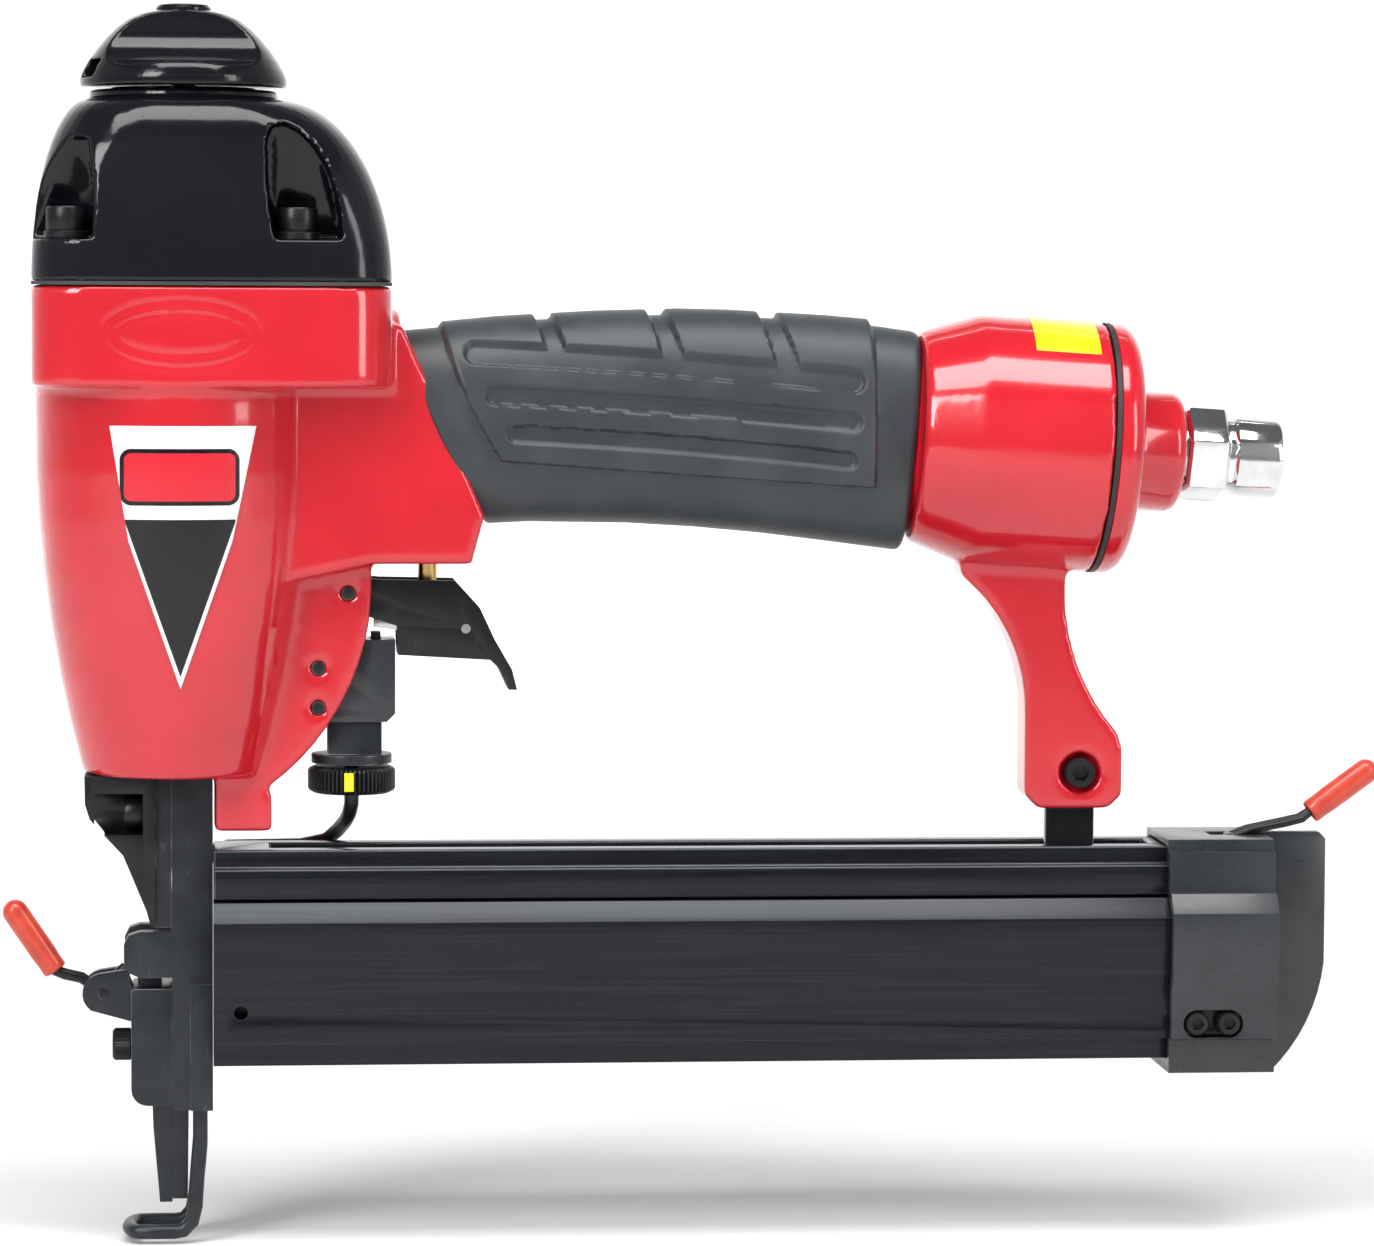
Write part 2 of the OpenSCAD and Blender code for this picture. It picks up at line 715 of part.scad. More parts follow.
module safety_guide() {
  half = slot_half - run;
  color("black") difference() {
    side_plate([[27, guide_z0], [44.8, guide_z0], [46.6, guide_z0 + 1.8], [46.6, guide_z1],
      [39.8, guide_z1], [37, guide_z1 - 1.2], [27, guide_z1 - 1.2]], -half, half);
    translate([stem_x0 - run, -stem_half - run, guide_z0 - eps])
      cube([stem_x1 - stem_x0 + 2 * run, 2 * (stem_half + run), guide_roof - guide_z0]);
    translate([tongue_x0 - 0.2, -2.7, guide_roof - 1]) cube([2.4, 5.4, 10]);
    for (p = guide_pins_xz) cross_pin(p, pin_r + run, half + 1);
  }
}

module guide_pins() {
  color("silver") for (p = guide_pins_xz) cross_pin(p, pin_r, cheek_half);
}

module safety_stem() {
  color("dimgray") difference() {
    union() {
      translate([stem_x0, -stem_half, collar_z + 1.5])
        cube([stem_x1 - stem_x0, 2 * stem_half, stem_top - collar_z - 1.5]);
      translate([safety_x, 0, collar_z]) cylinder(r = collar_r, h = collar_h);
      translate([tongue_x0, -2.5, stem_top - 1]) cube([2, 5, tongue_top - stem_top + 1]);
    }
    translate([safety_x, 0, collar_z - eps]) cylinder(r = foot_r + 0.1, h = 12);
    translate([safety_x, 0, rod_top + 0.6]) cylinder(r = 3.2, h = 10);
  }
}

module safety_spring() {
  color("silver") translate([safety_x, 0, 0])
    tube(coil(2.5, rod_top + 1.1, guide_roof - 0.5, 4, 12), 0.4, 8, [1, 0, 0]);
}

module depth_wheel() {
  teeth = 36;
  tooth_h = 0.55;
  color("dimgray") translate([safety_x, 0, wheel_z]) difference() {
    linear_extrude(wheel_h) polygon([for (i = [0:2 * teeth - 1])
      polar([0, 0], i % 2 == 0 ? wheel_r : wheel_r - tooth_h, 180 * i / teeth)]);
    translate([0, 0, -eps]) cylinder(r = foot_r + 0.1, h = wheel_h + 1);
  }
}

module contact_foot() {
  h = foot_half;
  z = foot_r;
  far = nose_half + foot_r + slip;
  turn = arc([-10.8 + foot_r + h - foot_r, 0], h - foot_r + foot_r, 255, 105, 8);
  loop = [for (p = turn) [-10.8 + foot_r + (p[0] + 10.8 - foot_r) * 0.42, p[1], z]];
  near = [[leg_x, -h, leg_top], [leg_x, -h, 22], [leg_x - 0.5, -h, 16], [leg_x - 1.1, -h, 7],
    [leg_x - 1.8, -h, 3.8], [leg_x - 3.6, -h, z + 0.3], [leg_x - 5.6, -h, z], [-4, -h, z]];
  back = [for (i = [len(near) - 1:-1:3]) [near[i][0], h, near[i][2]]];
  rise = [[leg_x - 0.8, h + 0.5, 10], [leg_x - 0.3, far - 1.8, 14], [leg_x, far - 0.3, 17.5],
    [leg_x, far, 20], [leg_x, far, 73], [leg_x + 0.4, far + 1.6, 77], [leg_x + 2.2, 14.3, 80.4],
    [leg_x + 6, 14.4, 81.8],
    [27, 14.4, 82], [32.5, 14.2, 83.2], [35, 12.4, 85.6], [36.4, 7.5, 88],
    [safety_x - 0.4, 2.4, 90.2], [safety_x, 0.2, 92.6], [safety_x, 0, 94.5], [safety_x, 0, rod_top]];
  color("dimgray") tube(concat(near, loop, back, rise), foot_r, 12, [1, 0, 0]);
}

// Curved plan of a nose lug
module lug_plate(y0, y1) {
  side_plate([[split_x, 56.4], [-7.6, 56.4], [-9.8, 57.4], [-10.9, 59.4], [-10.9, 63.4],
    [-9.9, 65.4], [-7.6, 66.2], [split_x, 66.2]], y0, y1);
}

module nose_block() {
  color("dimgray") difference() {
    union() {
      translate([split_x, -nose_half, block_bottom])
        cube([nose_t - split_x, nose_w, nose_z - block_bottom]);
      both_sides() translate([3.1, -nose_half - 0.9, block_bottom]) cube([4.8, 1.2, 27]);
      side_plate([[split_x, tip_z], [2.5, tip_z], [2.7, 25], [2.7, block_bottom + 1],
        [split_x, block_bottom + 1]], -5, 5);
      both_sides() {
        lug_plate(-nose_half, -lug_in);
        translate([split_x - eps, -nose_half, 56.4]) cube([1, nose_half - lug_in, 9.8]);
      }
    }
    translate([split_x - 1, -blade_w / 2 - 0.15, 0])
      cube([blade_t + 0.1 + 1, blade_w + 0.3, nose_z + 1]);
    translate([0, -3.1, block_bottom - 1]) cube([20, 6.2, 51]);
    translate([leg_x, -foot_half, block_bottom - 1]) cylinder(r = foot_r + 0.1, h = 16);
    translate([3, nose_half + run, block_bottom - 1]) cube([6, 2, 30]);
    cross_pin(hinge, hinge_r + run, 7.6);
    for (s = [-1, 1]) x_pin([-8, s * nose_screw_y, nose_screw_z], 2 + run, 14);
  }
}

module nose_front_plate() {
  color("dimgray") difference() {
    translate([plate_x, -nose_half, 67]) cube([split_x - plate_x, nose_w, nose_z - 67]);
    for (s = [-1, 1]) x_pin([-8, s * nose_screw_y, nose_screw_z], 2 + run, 14);
  }
}

module nose_bracket() {
  half = nose_half + 1.6;
  color("black") difference() {
    side_plate([[-19.1, nose_z], [-19, 93.5], [-18, 90.4], [-16, 88.1], [-11, 82.7], [-8.4, 76.5],
      [-6.1, 70.9], [-5.2, 67.6], [plate_x, 67.6], [plate_x, nose_z]], -half, half);
    for (s = [-1, 1]) {
      x_pin([-8, s * nose_screw_y, nose_screw_z], 2 + run, 14);
      x_pin([-26.8, s * nose_screw_y, nose_screw_z], 4.4, 20);
      translate([-17, s * (nose_screw_y + 6) - 6, nose_screw_z - 4.4]) cube([10.2, 12, 8.8]);
    }
  }
}

module nose_screws() {
  color("dimgray") for (s = [-1, 1]) translate([-6.8, s * nose_screw_y, nose_screw_z])
    rotate([0, -90, 0]) cap_screw(4, 12.5);
}

module release_door() {
  half = nose_half;
  color("dimgray") difference() {
    union() {
      side_plate(concat([[split_x - 0.05, 29], [split_x - 0.05, 54], [-8.9, 54], [-9.4, 53.4]],
        arc([-5.9, 32.5], 3.5, 180, 270, 5)), -half, half);
      side_plate([[split_x - 0.05, 7.7], [-3.4, 7.7], [-4.8, 24], [-5, 30], [split_x - 0.05, 30]],
        -5, 5);
      both_sides() side_plate(concat(arc(clevis, 4.4, 100, 235, 8), [[-9.3, 46.4], [-9.3, 54],
        [-10.6, 57.6]]), -4.2, -2.4);
      side_plate([[-8, 53.5], [-8.2, hinge[1]], [-2.8, hinge[1]], [-3, 53.5]], -4.2, 4.2);
      cross_pin(hinge, 3, 4.6);
    }
    cross_pin(hinge, hinge_r + run, 6);
    cross_pin(clevis, clevis_r + run, 6);
    x_pin([-14, 0, 41.05], 2 + run, 10);
  }
}

module door_hinge_pin() {
  color("silver") cross_pin(hinge, hinge_r, 7.4);
}

module door_screw() {
  color("dimgray") translate([-9.4 - run, 0, 41.05]) rotate([0, -90, 0]) {
    cylinder(r = 3.45, h = 4);
    translate([0, 0, -3.8]) cylinder(r = 2, h = 4);
  }
}

module latch_lever() {
  color("dimgray") difference() {
    union() {
      cross_pin(clevis, 3, 2.1);
      tube([[clevis[0] - 1.5, 0, clevis[1] + 0.8], [-20, 0, 55.4], [-23.5, 0, 56.2],
        [latch_axis[0][0], 0, latch_axis[0][1]], [-28.5, 0, 61.4]], 1.25, 10);
      tube([[clevis[0] + 1.5, 0, clevis[1] + 1.2], [-12, 0, 56.4], [-10.6, 0, 57.6]], 1.25, 10);
    }
    cross_pin(clevis, clevis_r + run, 6);
  }
}

module latch_sleeve() {
  d = latch_axis[1] - latch_axis[0];
  color("orangered") translate([latch_axis[0][0], 0, latch_axis[0][1]])
    rotate([0, atan2(d[0], d[1]), 0]) vinyl_sleeve(norm(d) + sleeve_rr - 0.6);
}

module latch_pin() {
  color("silver") cross_pin(clevis, clevis_r, 4.5);
}

// Dipped vinyl sleeve with a round end, standing on the origin
module vinyl_sleeve(len) {
  difference() {
    rotate_extrude() {
      square([sleeve_rr, len - sleeve_rr]);
      translate([0, len - sleeve_rr]) intersection() {
        circle(sleeve_rr);
        square(sleeve_rr);
      }
    }
    translate([0, 0, -eps]) cylinder(r = 1.35, h = len - 4);
  }
}

module magazine_rail() {
  color("black") difference() {
    translate([rail_x0, 0, 0]) rotate([90, 0, 90]) linear_extrude(rail_len) union() {
      translate([-rail_half, rail_step - 1]) square([2 * rail_half, rail_top - rail_step + 1]);
      translate([-rail_half_low, rail_low]) square([2 * rail_half_low, rail_step - rail_low]);
      translate([-2, 58]) square([4, rail_low - 58 + 1]);
    }
    translate([rail_x0 + 12, -5, rail_step]) cube([rail_len - 24, 10, 10]);
  }
}

// Outline of the magazine cover, seen along the rail
module cover_outline(grow) {
  polygon([for (s = [-1, 1]) each let (q = [
    [cover_foot + grow, cover_z0 - grow], [cover_foot + grow, 42.2], [cover_mid + grow, 42.8],
    [cover_mid + grow, 53.6 - grow * 0.4], [cover_half + grow, 57.4 - grow * 0.4],
    [cover_half + grow, 68.8 + grow * 0.4], [cover_half - 3 + grow, cover_z1 + grow * 0.4]])
    s > 0 ? q : [for (i = [len(q) - 1:-1:0]) [-q[i][0], q[i][1]]]]);
}

module magazine_cover() {
  color("black") difference() {
    translate([rail_x0, 0, 0]) rotate([90, 0, 90]) linear_extrude(endcap_x1 - 4 - rail_x0)
      cover_outline(0);
    translate([rail_x0 - 1, -channel_half, channel_z0]) cube([endcap_x1, 2 * channel_half, 40]);
    cross_pin([13.8, 49.6], 1.5, 20);
    for (x = [endcap_x0 + 5.7, endcap_x0 + 12.6]) cross_pin([x, 46], 1.5 + run, 30);
  }
}

module pusher() {
  half = channel_half - slip;
  color("gray") difference() {
    translate([rail_x0 + 0.4, -half, channel_z0 + slip]) cube([46, 2 * half, 27.5]);
    translate([rail_x0 - 1, -2.4, 57.5]) cube([60, 4.8, 30]);
    translate([rail_x0 + 26, -half - 1, 50.5]) rotate([-90, 0, 0]) cylinder(r = 5.6, h = 2 * half + 2);
    translate([rail_x0 + 8, 3, 60]) cube([60, 10, 20]);
    translate([rail_x0 + 8, -13, 60]) cube([60, 10, 20]);
  }
}

module feed_spring() {
  color("silver") translate([rail_x0 + 26, 5, 50.5]) rotate([90, 0, 0]) difference() {
    cylinder(r = 5.2, h = 10);
    translate([0, 0, -1]) cylinder(r = 2.4, h = 12);
  }
}

// Solid block of the end cap, seen along the rail
module endcap_outline(grow) {
  union() {
    cover_outline(grow);
    translate([-rail_half_low - grow, cover_z1 - 2]) square([2 * rail_half_low + 2 * grow,
      rail_step - cover_z1 + 2 + grow]);
    translate([-rail_half - grow, rail_step - 2]) square([2 * rail_half + 2 * grow,
      rail_top - rail_step + 2 + min(grow, 1.6)]);
  }
}

module magazine_end_cap() {
  w = endcap_wall + slip;
  color("dimgray") difference() {
    translate([endcap_x0, 0, 0]) rotate([90, 0, 90]) linear_extrude(endcap_len) endcap_outline(w);
    translate([endcap_x0 - 1, 0, 0]) rotate([90, 0, 90]) linear_extrude(endcap_len - 2)
      endcap_outline(slip);
    translate([endcap_x0 + 5.7, -40, 46]) rotate([-90, 0, 0]) cylinder(r = 3.05, h = 80);
    translate([endcap_x0 + 12.6, -40, 46]) rotate([-90, 0, 0]) cylinder(r = 3.05, h = 80);
    translate([endcap_x0 + 5.7, -40, 42.95]) cube([6.9, 80, 6.1]);
    translate([mlatch[0] - 5, -mlatch_slot, rail_top - 3]) cube([30, 2 * mlatch_slot, 10]);
    translate([endcap_x1 - 4.1, -1.6, 32]) cube([8, 3.2, 60]);
    cross_pin(mlatch, mlatch_r + run, 6);
  }
}

module end_cap_screws() {
  color("dimgray") for (s = [-1, 1], x = [endcap_x0 + 5.7, endcap_x0 + 12.6])
    translate([x, s * (cover_mid + slip / 2), 46]) rotate([-s * 90, 0, 0]) difference() {
      union() {
        cylinder(r = 2.6, h = 1.8);
        translate([0, 0, -4]) cylinder(r = 1.5, h = 5);
      }
      translate([0, 0, 0.8]) cylinder(r = 1.3, h = 2, $fn = 6);
    }
}

module end_plate() {
  c = [plate_end - 39, 61];
  color("dimgray") difference() {
    side_plate(concat([[endcap_x1 - 4, 85.6], [plate_end - 1.5, 85.6], [plate_end, 84.1],
      [plate_end, 57]], arc(c, 39.2, -6, -46, 8), [[endcap_x1 - 4, 32.8]]), -1.5, 1.5);
    translate([mlatch[0] - 5, -2, 80]) cube([8, 4, 10]);
  }
}

module magazine_latch() {
  x1 = endcap_x1 + 8.4;
  color("silver") difference() {
    union() {
      cross_pin(mlatch, 1.9, 3);
      both_sides() tube([[mlatch[0], -2.4, mlatch[1] + 1], [mlatch[0] + 4, -2.4, mlatch[1] + 2.6],
        [x1 - 3.5, -2.6, 87.6], [x1, -2.2, 88.4], [x1 + 2.6, -1.1, 90.2], [x1 + 5.5, -0.95, 92.4]],
        0.8, 8);
    }
    cross_pin(mlatch, mlatch_r + run, 6);
  }
}

module magazine_latch_sleeve() {
  x1 = endcap_x1 + 8.4;
  color("orangered") translate([x1 + 2.2, 0, 89.7]) rotate([0, 54, 0]) difference() {
    rotate_extrude() {
      square([sleeve_rr, 15]);
      translate([0, 15]) intersection() {
        circle(sleeve_rr);
        square(sleeve_rr);
      }
    }
    translate([0, 0, -eps]) cylinder(r = 2.2, h = 9);
  }
}

module magazine_latch_pin() {
  color("silver") cross_pin(mlatch, mlatch_r, 5.4);
}

module magazine_strap() {
  color("black") difference() {
    union() {
      translate([strap_x0, -1.6, rail_step]) cube([strap_w, 3.2, 104 - rail_step]);
      translate([strap_x0 - 6, -4.9, rail_step]) cube([strap_w + 12, 9.8, 2.4]);
    }
    cross_pin(arm_hole, arm_screw_r + run, 6);
  }
}

module strap_screw() {
  color("dimgray") translate([arm_hole[0], -arm_half + 3, arm_hole[1]]) rotate([90, 0, 0])
    cap_screw(2 * arm_screw_r, 9.2);
}

module name_badge() {
  color("white") intersection() {
    both_sides() side_plate([[-13.4, 174], [17, 174], [12, 150], [1.2, 119], [-9.5, 150]],
      -barrel_r - 1, -10);
    difference() {
      barrel_solid(-0.4, nose_z, head_z + 4);
      barrel_solid(-0.02, nose_z, head_z + 4);
    }
    translate([-40, -60, 100]) cube([80, 60, 100]);
  }
}

module handle_label() {
  color("yellow") on_handle(bulb_x + 23) rotate([0, 90, 0]) intersection() {
    difference() {
      cylinder(r = bulb_r + 0.15, h = 14);
      translate([0, 0, -1]) cylinder(r = bulb_r, h = 16);
    }
    translate([-40, -18, -1]) cube([40, 24, 16]);
  }
}

main_housing();
head_cap();
head_gasket();
head_screws();
head_washers();
exhaust_deflector();
deflector_plug();
deflector_screw();
cylinder_sleeve();
cylinder_seal();
piston_bumper();
head_valve();
head_valve_seal();
head_valve_spring();
piston();
piston_ring();
driver_blade();
grip_sleeve();
handle_end_cap();
end_cap_seal();
inlet_adaptor();
trigger();
trigger_pin();
trip_lever();
trip_pin();
trigger_valve_body();
trigger_valve_stem();
trigger_valve_spring();
safety_guide();
guide_pins();
safety_stem();
safety_spring();
depth_wheel();
contact_foot();
nose_block();
nose_front_plate();
nose_bracket();
nose_screws();
release_door();
door_hinge_pin();
door_screw();
latch_lever();
latch_sleeve();
latch_pin();
magazine_rail();
magazine_cover();
pusher();
feed_spring();
magazine_end_cap();
end_cap_screws();
end_plate();
magazine_latch();
magazine_latch_sleeve();
magazine_latch_pin();
magazine_strap();
strap_screw();
name_badge();
handle_label();
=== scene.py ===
"""Looks of the air nail gun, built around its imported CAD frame. Sizes are in millimetres."""

import json
import logging
import math
from collections.abc import Callable, Sequence
from dataclasses import dataclass
from enum import Enum

import bmesh
import bpy
from mathutils import Matrix, Vector


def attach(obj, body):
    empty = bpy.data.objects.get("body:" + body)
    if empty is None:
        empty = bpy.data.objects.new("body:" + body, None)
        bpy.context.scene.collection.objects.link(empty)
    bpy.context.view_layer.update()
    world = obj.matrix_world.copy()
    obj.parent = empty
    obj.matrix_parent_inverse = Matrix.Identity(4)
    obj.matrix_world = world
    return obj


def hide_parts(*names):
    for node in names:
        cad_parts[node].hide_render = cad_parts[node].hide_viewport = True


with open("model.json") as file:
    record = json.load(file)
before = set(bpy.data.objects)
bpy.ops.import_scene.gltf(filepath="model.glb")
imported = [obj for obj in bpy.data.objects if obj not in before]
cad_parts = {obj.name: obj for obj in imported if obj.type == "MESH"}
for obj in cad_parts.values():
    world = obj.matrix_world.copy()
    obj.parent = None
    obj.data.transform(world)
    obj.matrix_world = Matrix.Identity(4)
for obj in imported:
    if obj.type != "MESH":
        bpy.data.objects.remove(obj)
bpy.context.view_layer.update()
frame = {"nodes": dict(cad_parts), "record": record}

MM = 0.001
LOG = logging.getLogger("nail_gun")
Point2 = tuple[float, float]
Point3 = tuple[float, float, float]
Colour = tuple[float, float, float]
HANDLE_AT: Point3 = (48.0, 0.0, 178.5)
HANDLE_TILT = 3.6
COLOUR_A, COLOUR_B, COLOUR_RESULT = 6, 7, 2


class Body(Enum):
    """Bodies that the pieces made here ride on, by their names in the frame."""

    TOOL = "tool"
    DEFLECTOR = "deflector"
    TRIGGER = "trigger_unit"
    TRIP = "trip"
    VALVE_STEM = "valve_stem"
    SAFETY = "safety"
    ADJUSTER = "adjuster"
    FOOT = "foot"
    DOOR = "door"
    DOOR_LATCH = "door_latch"
    MAGAZINE = "magazine"
    COVER_LATCH = "cover_latch"


# ---------------------------------------------------------------- finishes


class Wire:
    """A shader socket whose arithmetic adds Math nodes."""

    def __init__(self, shop: "Shop", socket: bpy.types.NodeSocket) -> None:
        """Keep the socket and the tree it belongs to."""
        self.shop = shop
        self.socket = socket

    def _math(self, kind: str, a: "Wire | float", b: "Wire | float" = 0.0) -> "Wire":
        """Add one Math node.

        Args:
            kind: The node's operation.
            a: First value.
            b: Second value.

        Returns:
            The node's result.
        """
        return self.shop.add("ShaderNodeMath", {"operation": kind}, {0: a, 1: b}).out("Value")

    def __add__(self, other: "Wire | float") -> "Wire":
        """Sum."""
        return self._math("ADD", self, other)

    __radd__ = __add__

    def __sub__(self, other: "Wire | float") -> "Wire":
        """Difference."""
        return self._math("SUBTRACT", self, other)

    def __rsub__(self, other: "Wire | float") -> "Wire":
        """Reflected difference."""
        return self._math("SUBTRACT", other, self)

    def __mul__(self, other: "Wire | float") -> "Wire":
        """Product."""
        return self._math("MULTIPLY", self, other)

    __rmul__ = __mul__

    def __abs__(self) -> "Wire":
        """Absolute value."""
        return self._math("ABSOLUTE", self)

    def __lt__(self, other: "Wire | float") -> "Wire":
        """1 where self is smaller, else 0."""
        return self._math("LESS_THAN", self, other)

    def least(self, other: "Wire | float") -> "Wire":
        """The smaller of two values."""
        return self._math("MINIMUM", self, other)

    def most(self, other: "Wire | float") -> "Wire":
        """The larger of two values."""
        return self._math("MAXIMUM", self, other)

    def step(self, low: float, high: float) -> "Wire":
        """Smooth step.

        Args:
            low: Value that gives 0.
            high: Value that gives 1.

        Returns:
            The stepped value.
        """
        made = self.shop.add(
            "ShaderNodeMapRange",
            {"interpolation_type": "SMOOTHSTEP"},
            {"Value": self, "From Min": low, "From Max": high},
        )
        return made.out("Result")


@dataclass
class Made:
    """A node just added to a tree."""

    shop: "Shop"
    node: bpy.types.Node

    def out(self, name: str) -> Wire:
        """One of the node's output sockets."""
        return Wire(self.shop, self.node.outputs[name])


class Shop:
    """The node tree of one material."""

    def __init__(self, name: str) -> None:
        """Start an empty material.

        Args:
            name: The material's name.
        """
        self.material = bpy.data.materials.new(name)
        self.material.use_nodes = True
        self.tree = self.material.node_tree
        self.tree.nodes.clear()
        self.place = self.add("ShaderNodeTexCoord", {}, {}).out("Object")

    def add(self, kind: str, settings: dict, values: dict) -> Made:
        """Add any node.

        Args:
            kind: The node's type.
            settings: Its properties, and "stops" for a colour ramp.
            values: Values or wires of its input sockets, by name or number.

        Returns:
            The node.
        """
        node = self.tree.nodes.new(kind)
        for key, value in settings.items():
            if key == "stops":
                ramp = node.color_ramp
                for at, tint in value[2:]:
                    ramp.elements.new(at).color = (*tint, 1.0)
                for item, (at, tint) in zip((ramp.elements[0], ramp.elements[-1]), (value[0], value[1])):
                    item.position = at
                    item.color = (*tint, 1.0)
            else:
                setattr(node, key, value)
        for key, value in values.items():
            if isinstance(value, Wire):
                self.tree.links.new(value.socket, node.inputs[key])
            else:
                node.inputs[key].default_value = value
        return Made(self, node)

    def noise(self, size: float, detail: float = 3.0, stretch: Point3 = (1.0, 1.0, 1.0)) -> Wire:
        """Cloudy noise.

        Args:
            size: Size of its features in millimetres.
            detail: Octaves.
            stretch: Factors on the frequency along each axis.

        Returns:
            Its value, from 0 to 1.
        """
        scale = tuple(s / (size * MM) for s in stretch)
        spot = self.add("ShaderNodeMapping", {}, {"Vector": self.place, "Scale": scale}).out("Vector")
        made = self.add("ShaderNodeTexNoise", {}, {"Vector": spot, "Scale": 1.0, "Detail": detail})
        return made.out("Fac")

    def specks(self, size: float, amount: float) -> Wire:
        """Small round spots, 1 inside a spot.

        Args:
            size: Distance between spots in millimetres.
            amount: Share of a cell that a spot takes.

        Returns:
            The mask.
        """
        made = self.add("ShaderNodeTexVoronoi", {}, {"Vector": self.place, "Scale": 1 / (size * MM)})
        return 1 - made.out("Distance").step(amount * 0.5, amount)

    def mix(self, mask: Wire, low: "Colour | Wire", high: "Colour | Wire") -> Wire:
        """Blend two colours by a mask.

        Args:
            mask: 0 for the low colour, 1 for the high one.
            low: Colour or wire at 0.
            high: Colour or wire at 1.

        Returns:
            The blended colour.
        """
        ends = {COLOUR_A: low, COLOUR_B: high}
        ends = {k: v if isinstance(v, Wire) else (*v, 1.0) for k, v in ends.items()}
        made = self.add("ShaderNodeMix", {"data_type": "RGBA"}, {0: mask, **ends})
        return Wire(self, made.node.outputs[COLOUR_RESULT])

    def bump(self, height: Wire, depth: float, strength: float = 1.0, under: Wire | None = None) -> Wire:
        """Fine relief.

        Args:
            height: Height from 0 to 1.
            depth: Its depth in millimetres.
            strength: Share of the relief that shows.
            under: A normal to build on.

        Returns:
            The bent normal.
        """
        values = {"Height": height, "Distance": depth * MM, "Strength": strength}
        if under is not None:
            values["Normal"] = under
        return self.add("ShaderNodeBump", {}, values).out("Normal")

    def edges(self) -> Wire:
        """Mask of the rounded edges."""
        return self.add("ShaderNodeAttribute", {"attribute_name": "worn"}, {}).out("Fac")

    def close(self, **sockets: "Wire | float | Colour") -> bpy.types.Material:
        """Finish with one Principled shader.

        Args:
            sockets: Its inputs, with underscores for spaces.

        Returns:
            The material.
        """
        named = {}
        for key, value in sockets.items():
            named[key.replace("_", " ")] = (*value, 1.0) if isinstance(value, tuple) else value
        shader = self.add("ShaderNodeBsdfPrincipled", {}, named)
        out = self.tree.nodes.new("ShaderNodeOutputMaterial")
        self.tree.links.new(shader.node.outputs[0], out.inputs[0])
        return self.material


@dataclass(frozen=True)
class Enamel:
    """Sprayed gloss paint with a little orange peel."""

    name: str
    colour: Colour
    deep: Colour
    roughness: float = 0.13
    peel: float = 0.02
    coat: float = 0.6
    shine: float = 0.5

    def make(self) -> bpy.types.Material:
        """Build the material.

        Returns:
            The finished material.
        """
        shop = Shop(self.name)
        tone = shop.noise(22.0, 3.0)
        dust = shop.specks(7.0, 0.05)
        paint = shop.mix(tone.step(0.25, 0.8), self.colour, self.deep)
        peel = shop.bump(shop.noise(1.9, 2.0), self.peel)
        rough = self.roughness + 0.06 * shop.noise(9.0, 4.0) + 0.2 * dust
        return shop.close(
            Base_Color=paint, Roughness=rough, Normal=peel, Coat_Weight=self.coat, Coat_Roughness=0.05,
            Specular_IOR_Level=self.shine,
        )


@dataclass(frozen=True)
class Steel:
    """Bare, blackened or phosphated steel and alloy, worn on its edges."""

    name: str
    colour: Colour
    worn: Colour
    roughness: float = 0.35
    metallic: float = 0.9
    wear: float = 0.6
    grain: Point3 = (1.0, 1.0, 1.0)
    grain_size: float = 0.9

    def make(self) -> bpy.types.Material:
        """Build the material.

        Returns:
            The finished material.
        """
        shop = Shop(self.name)
        patch = shop.noise(6.0, 5.0)
        grain = shop.noise(self.grain_size, 4.0, self.grain)
        base = shop.mix(patch.step(0.3, 0.75), self.colour, tuple(c * 1.35 + 0.004 for c in self.colour))
        edge = shop.edges() * (patch.step(0.42, 0.72) * 0.8 + 0.12) * self.wear
        scratch = shop.noise(2.2, 2.0, (3.0, 3.0, 0.25)).step(0.66, 0.72) * patch.step(0.5, 0.7) * 0.25
        tint = shop.mix((edge + scratch * self.wear).least(1.0), base, self.worn)
        rough = self.roughness + 0.16 * (grain - 0.5) + 0.10 * (patch - 0.5) - 0.10 * edge
        return shop.close(
            Base_Color=tint, Metallic=self.metallic, Roughness=rough.most(0.05),
            Normal=shop.bump(grain, 0.018, 0.8),
        )


@dataclass(frozen=True)
class Anodised:
    """Black anodised extrusion with faint drawing lines along its length, tinted lighter and bluish
    along them as a painted sheen.
    """

    name: str
    colour: Colour
    sheen: Colour

    def make(self) -> bpy.types.Material:
        """Build the material.

        Returns:
            The finished material.
        """
        shop = Shop(self.name)
        lines = shop.noise(0.55, 3.0, (0.012, 1.0, 1.0))
        cloud = shop.noise(30.0, 3.0)
        # Painted sheen: the drawing lines and soft clouds are tinted towards the lighter bluish sheen
        # colour.
        tint = shop.mix(lines.step(0.35, 0.75) * 0.6 + 0.25 * cloud, self.colour, self.sheen)
        tint = shop.mix(shop.edges() * 0.4, tint, (0.16, 0.17, 0.19))
        rough = 0.19 + 0.12 * (lines - 0.5) + 0.08 * cloud
        return shop.close(
            Base_Color=tint, Metallic=0.55, Roughness=rough, Normal=shop.bump(lines, 0.012, 0.7),
        )


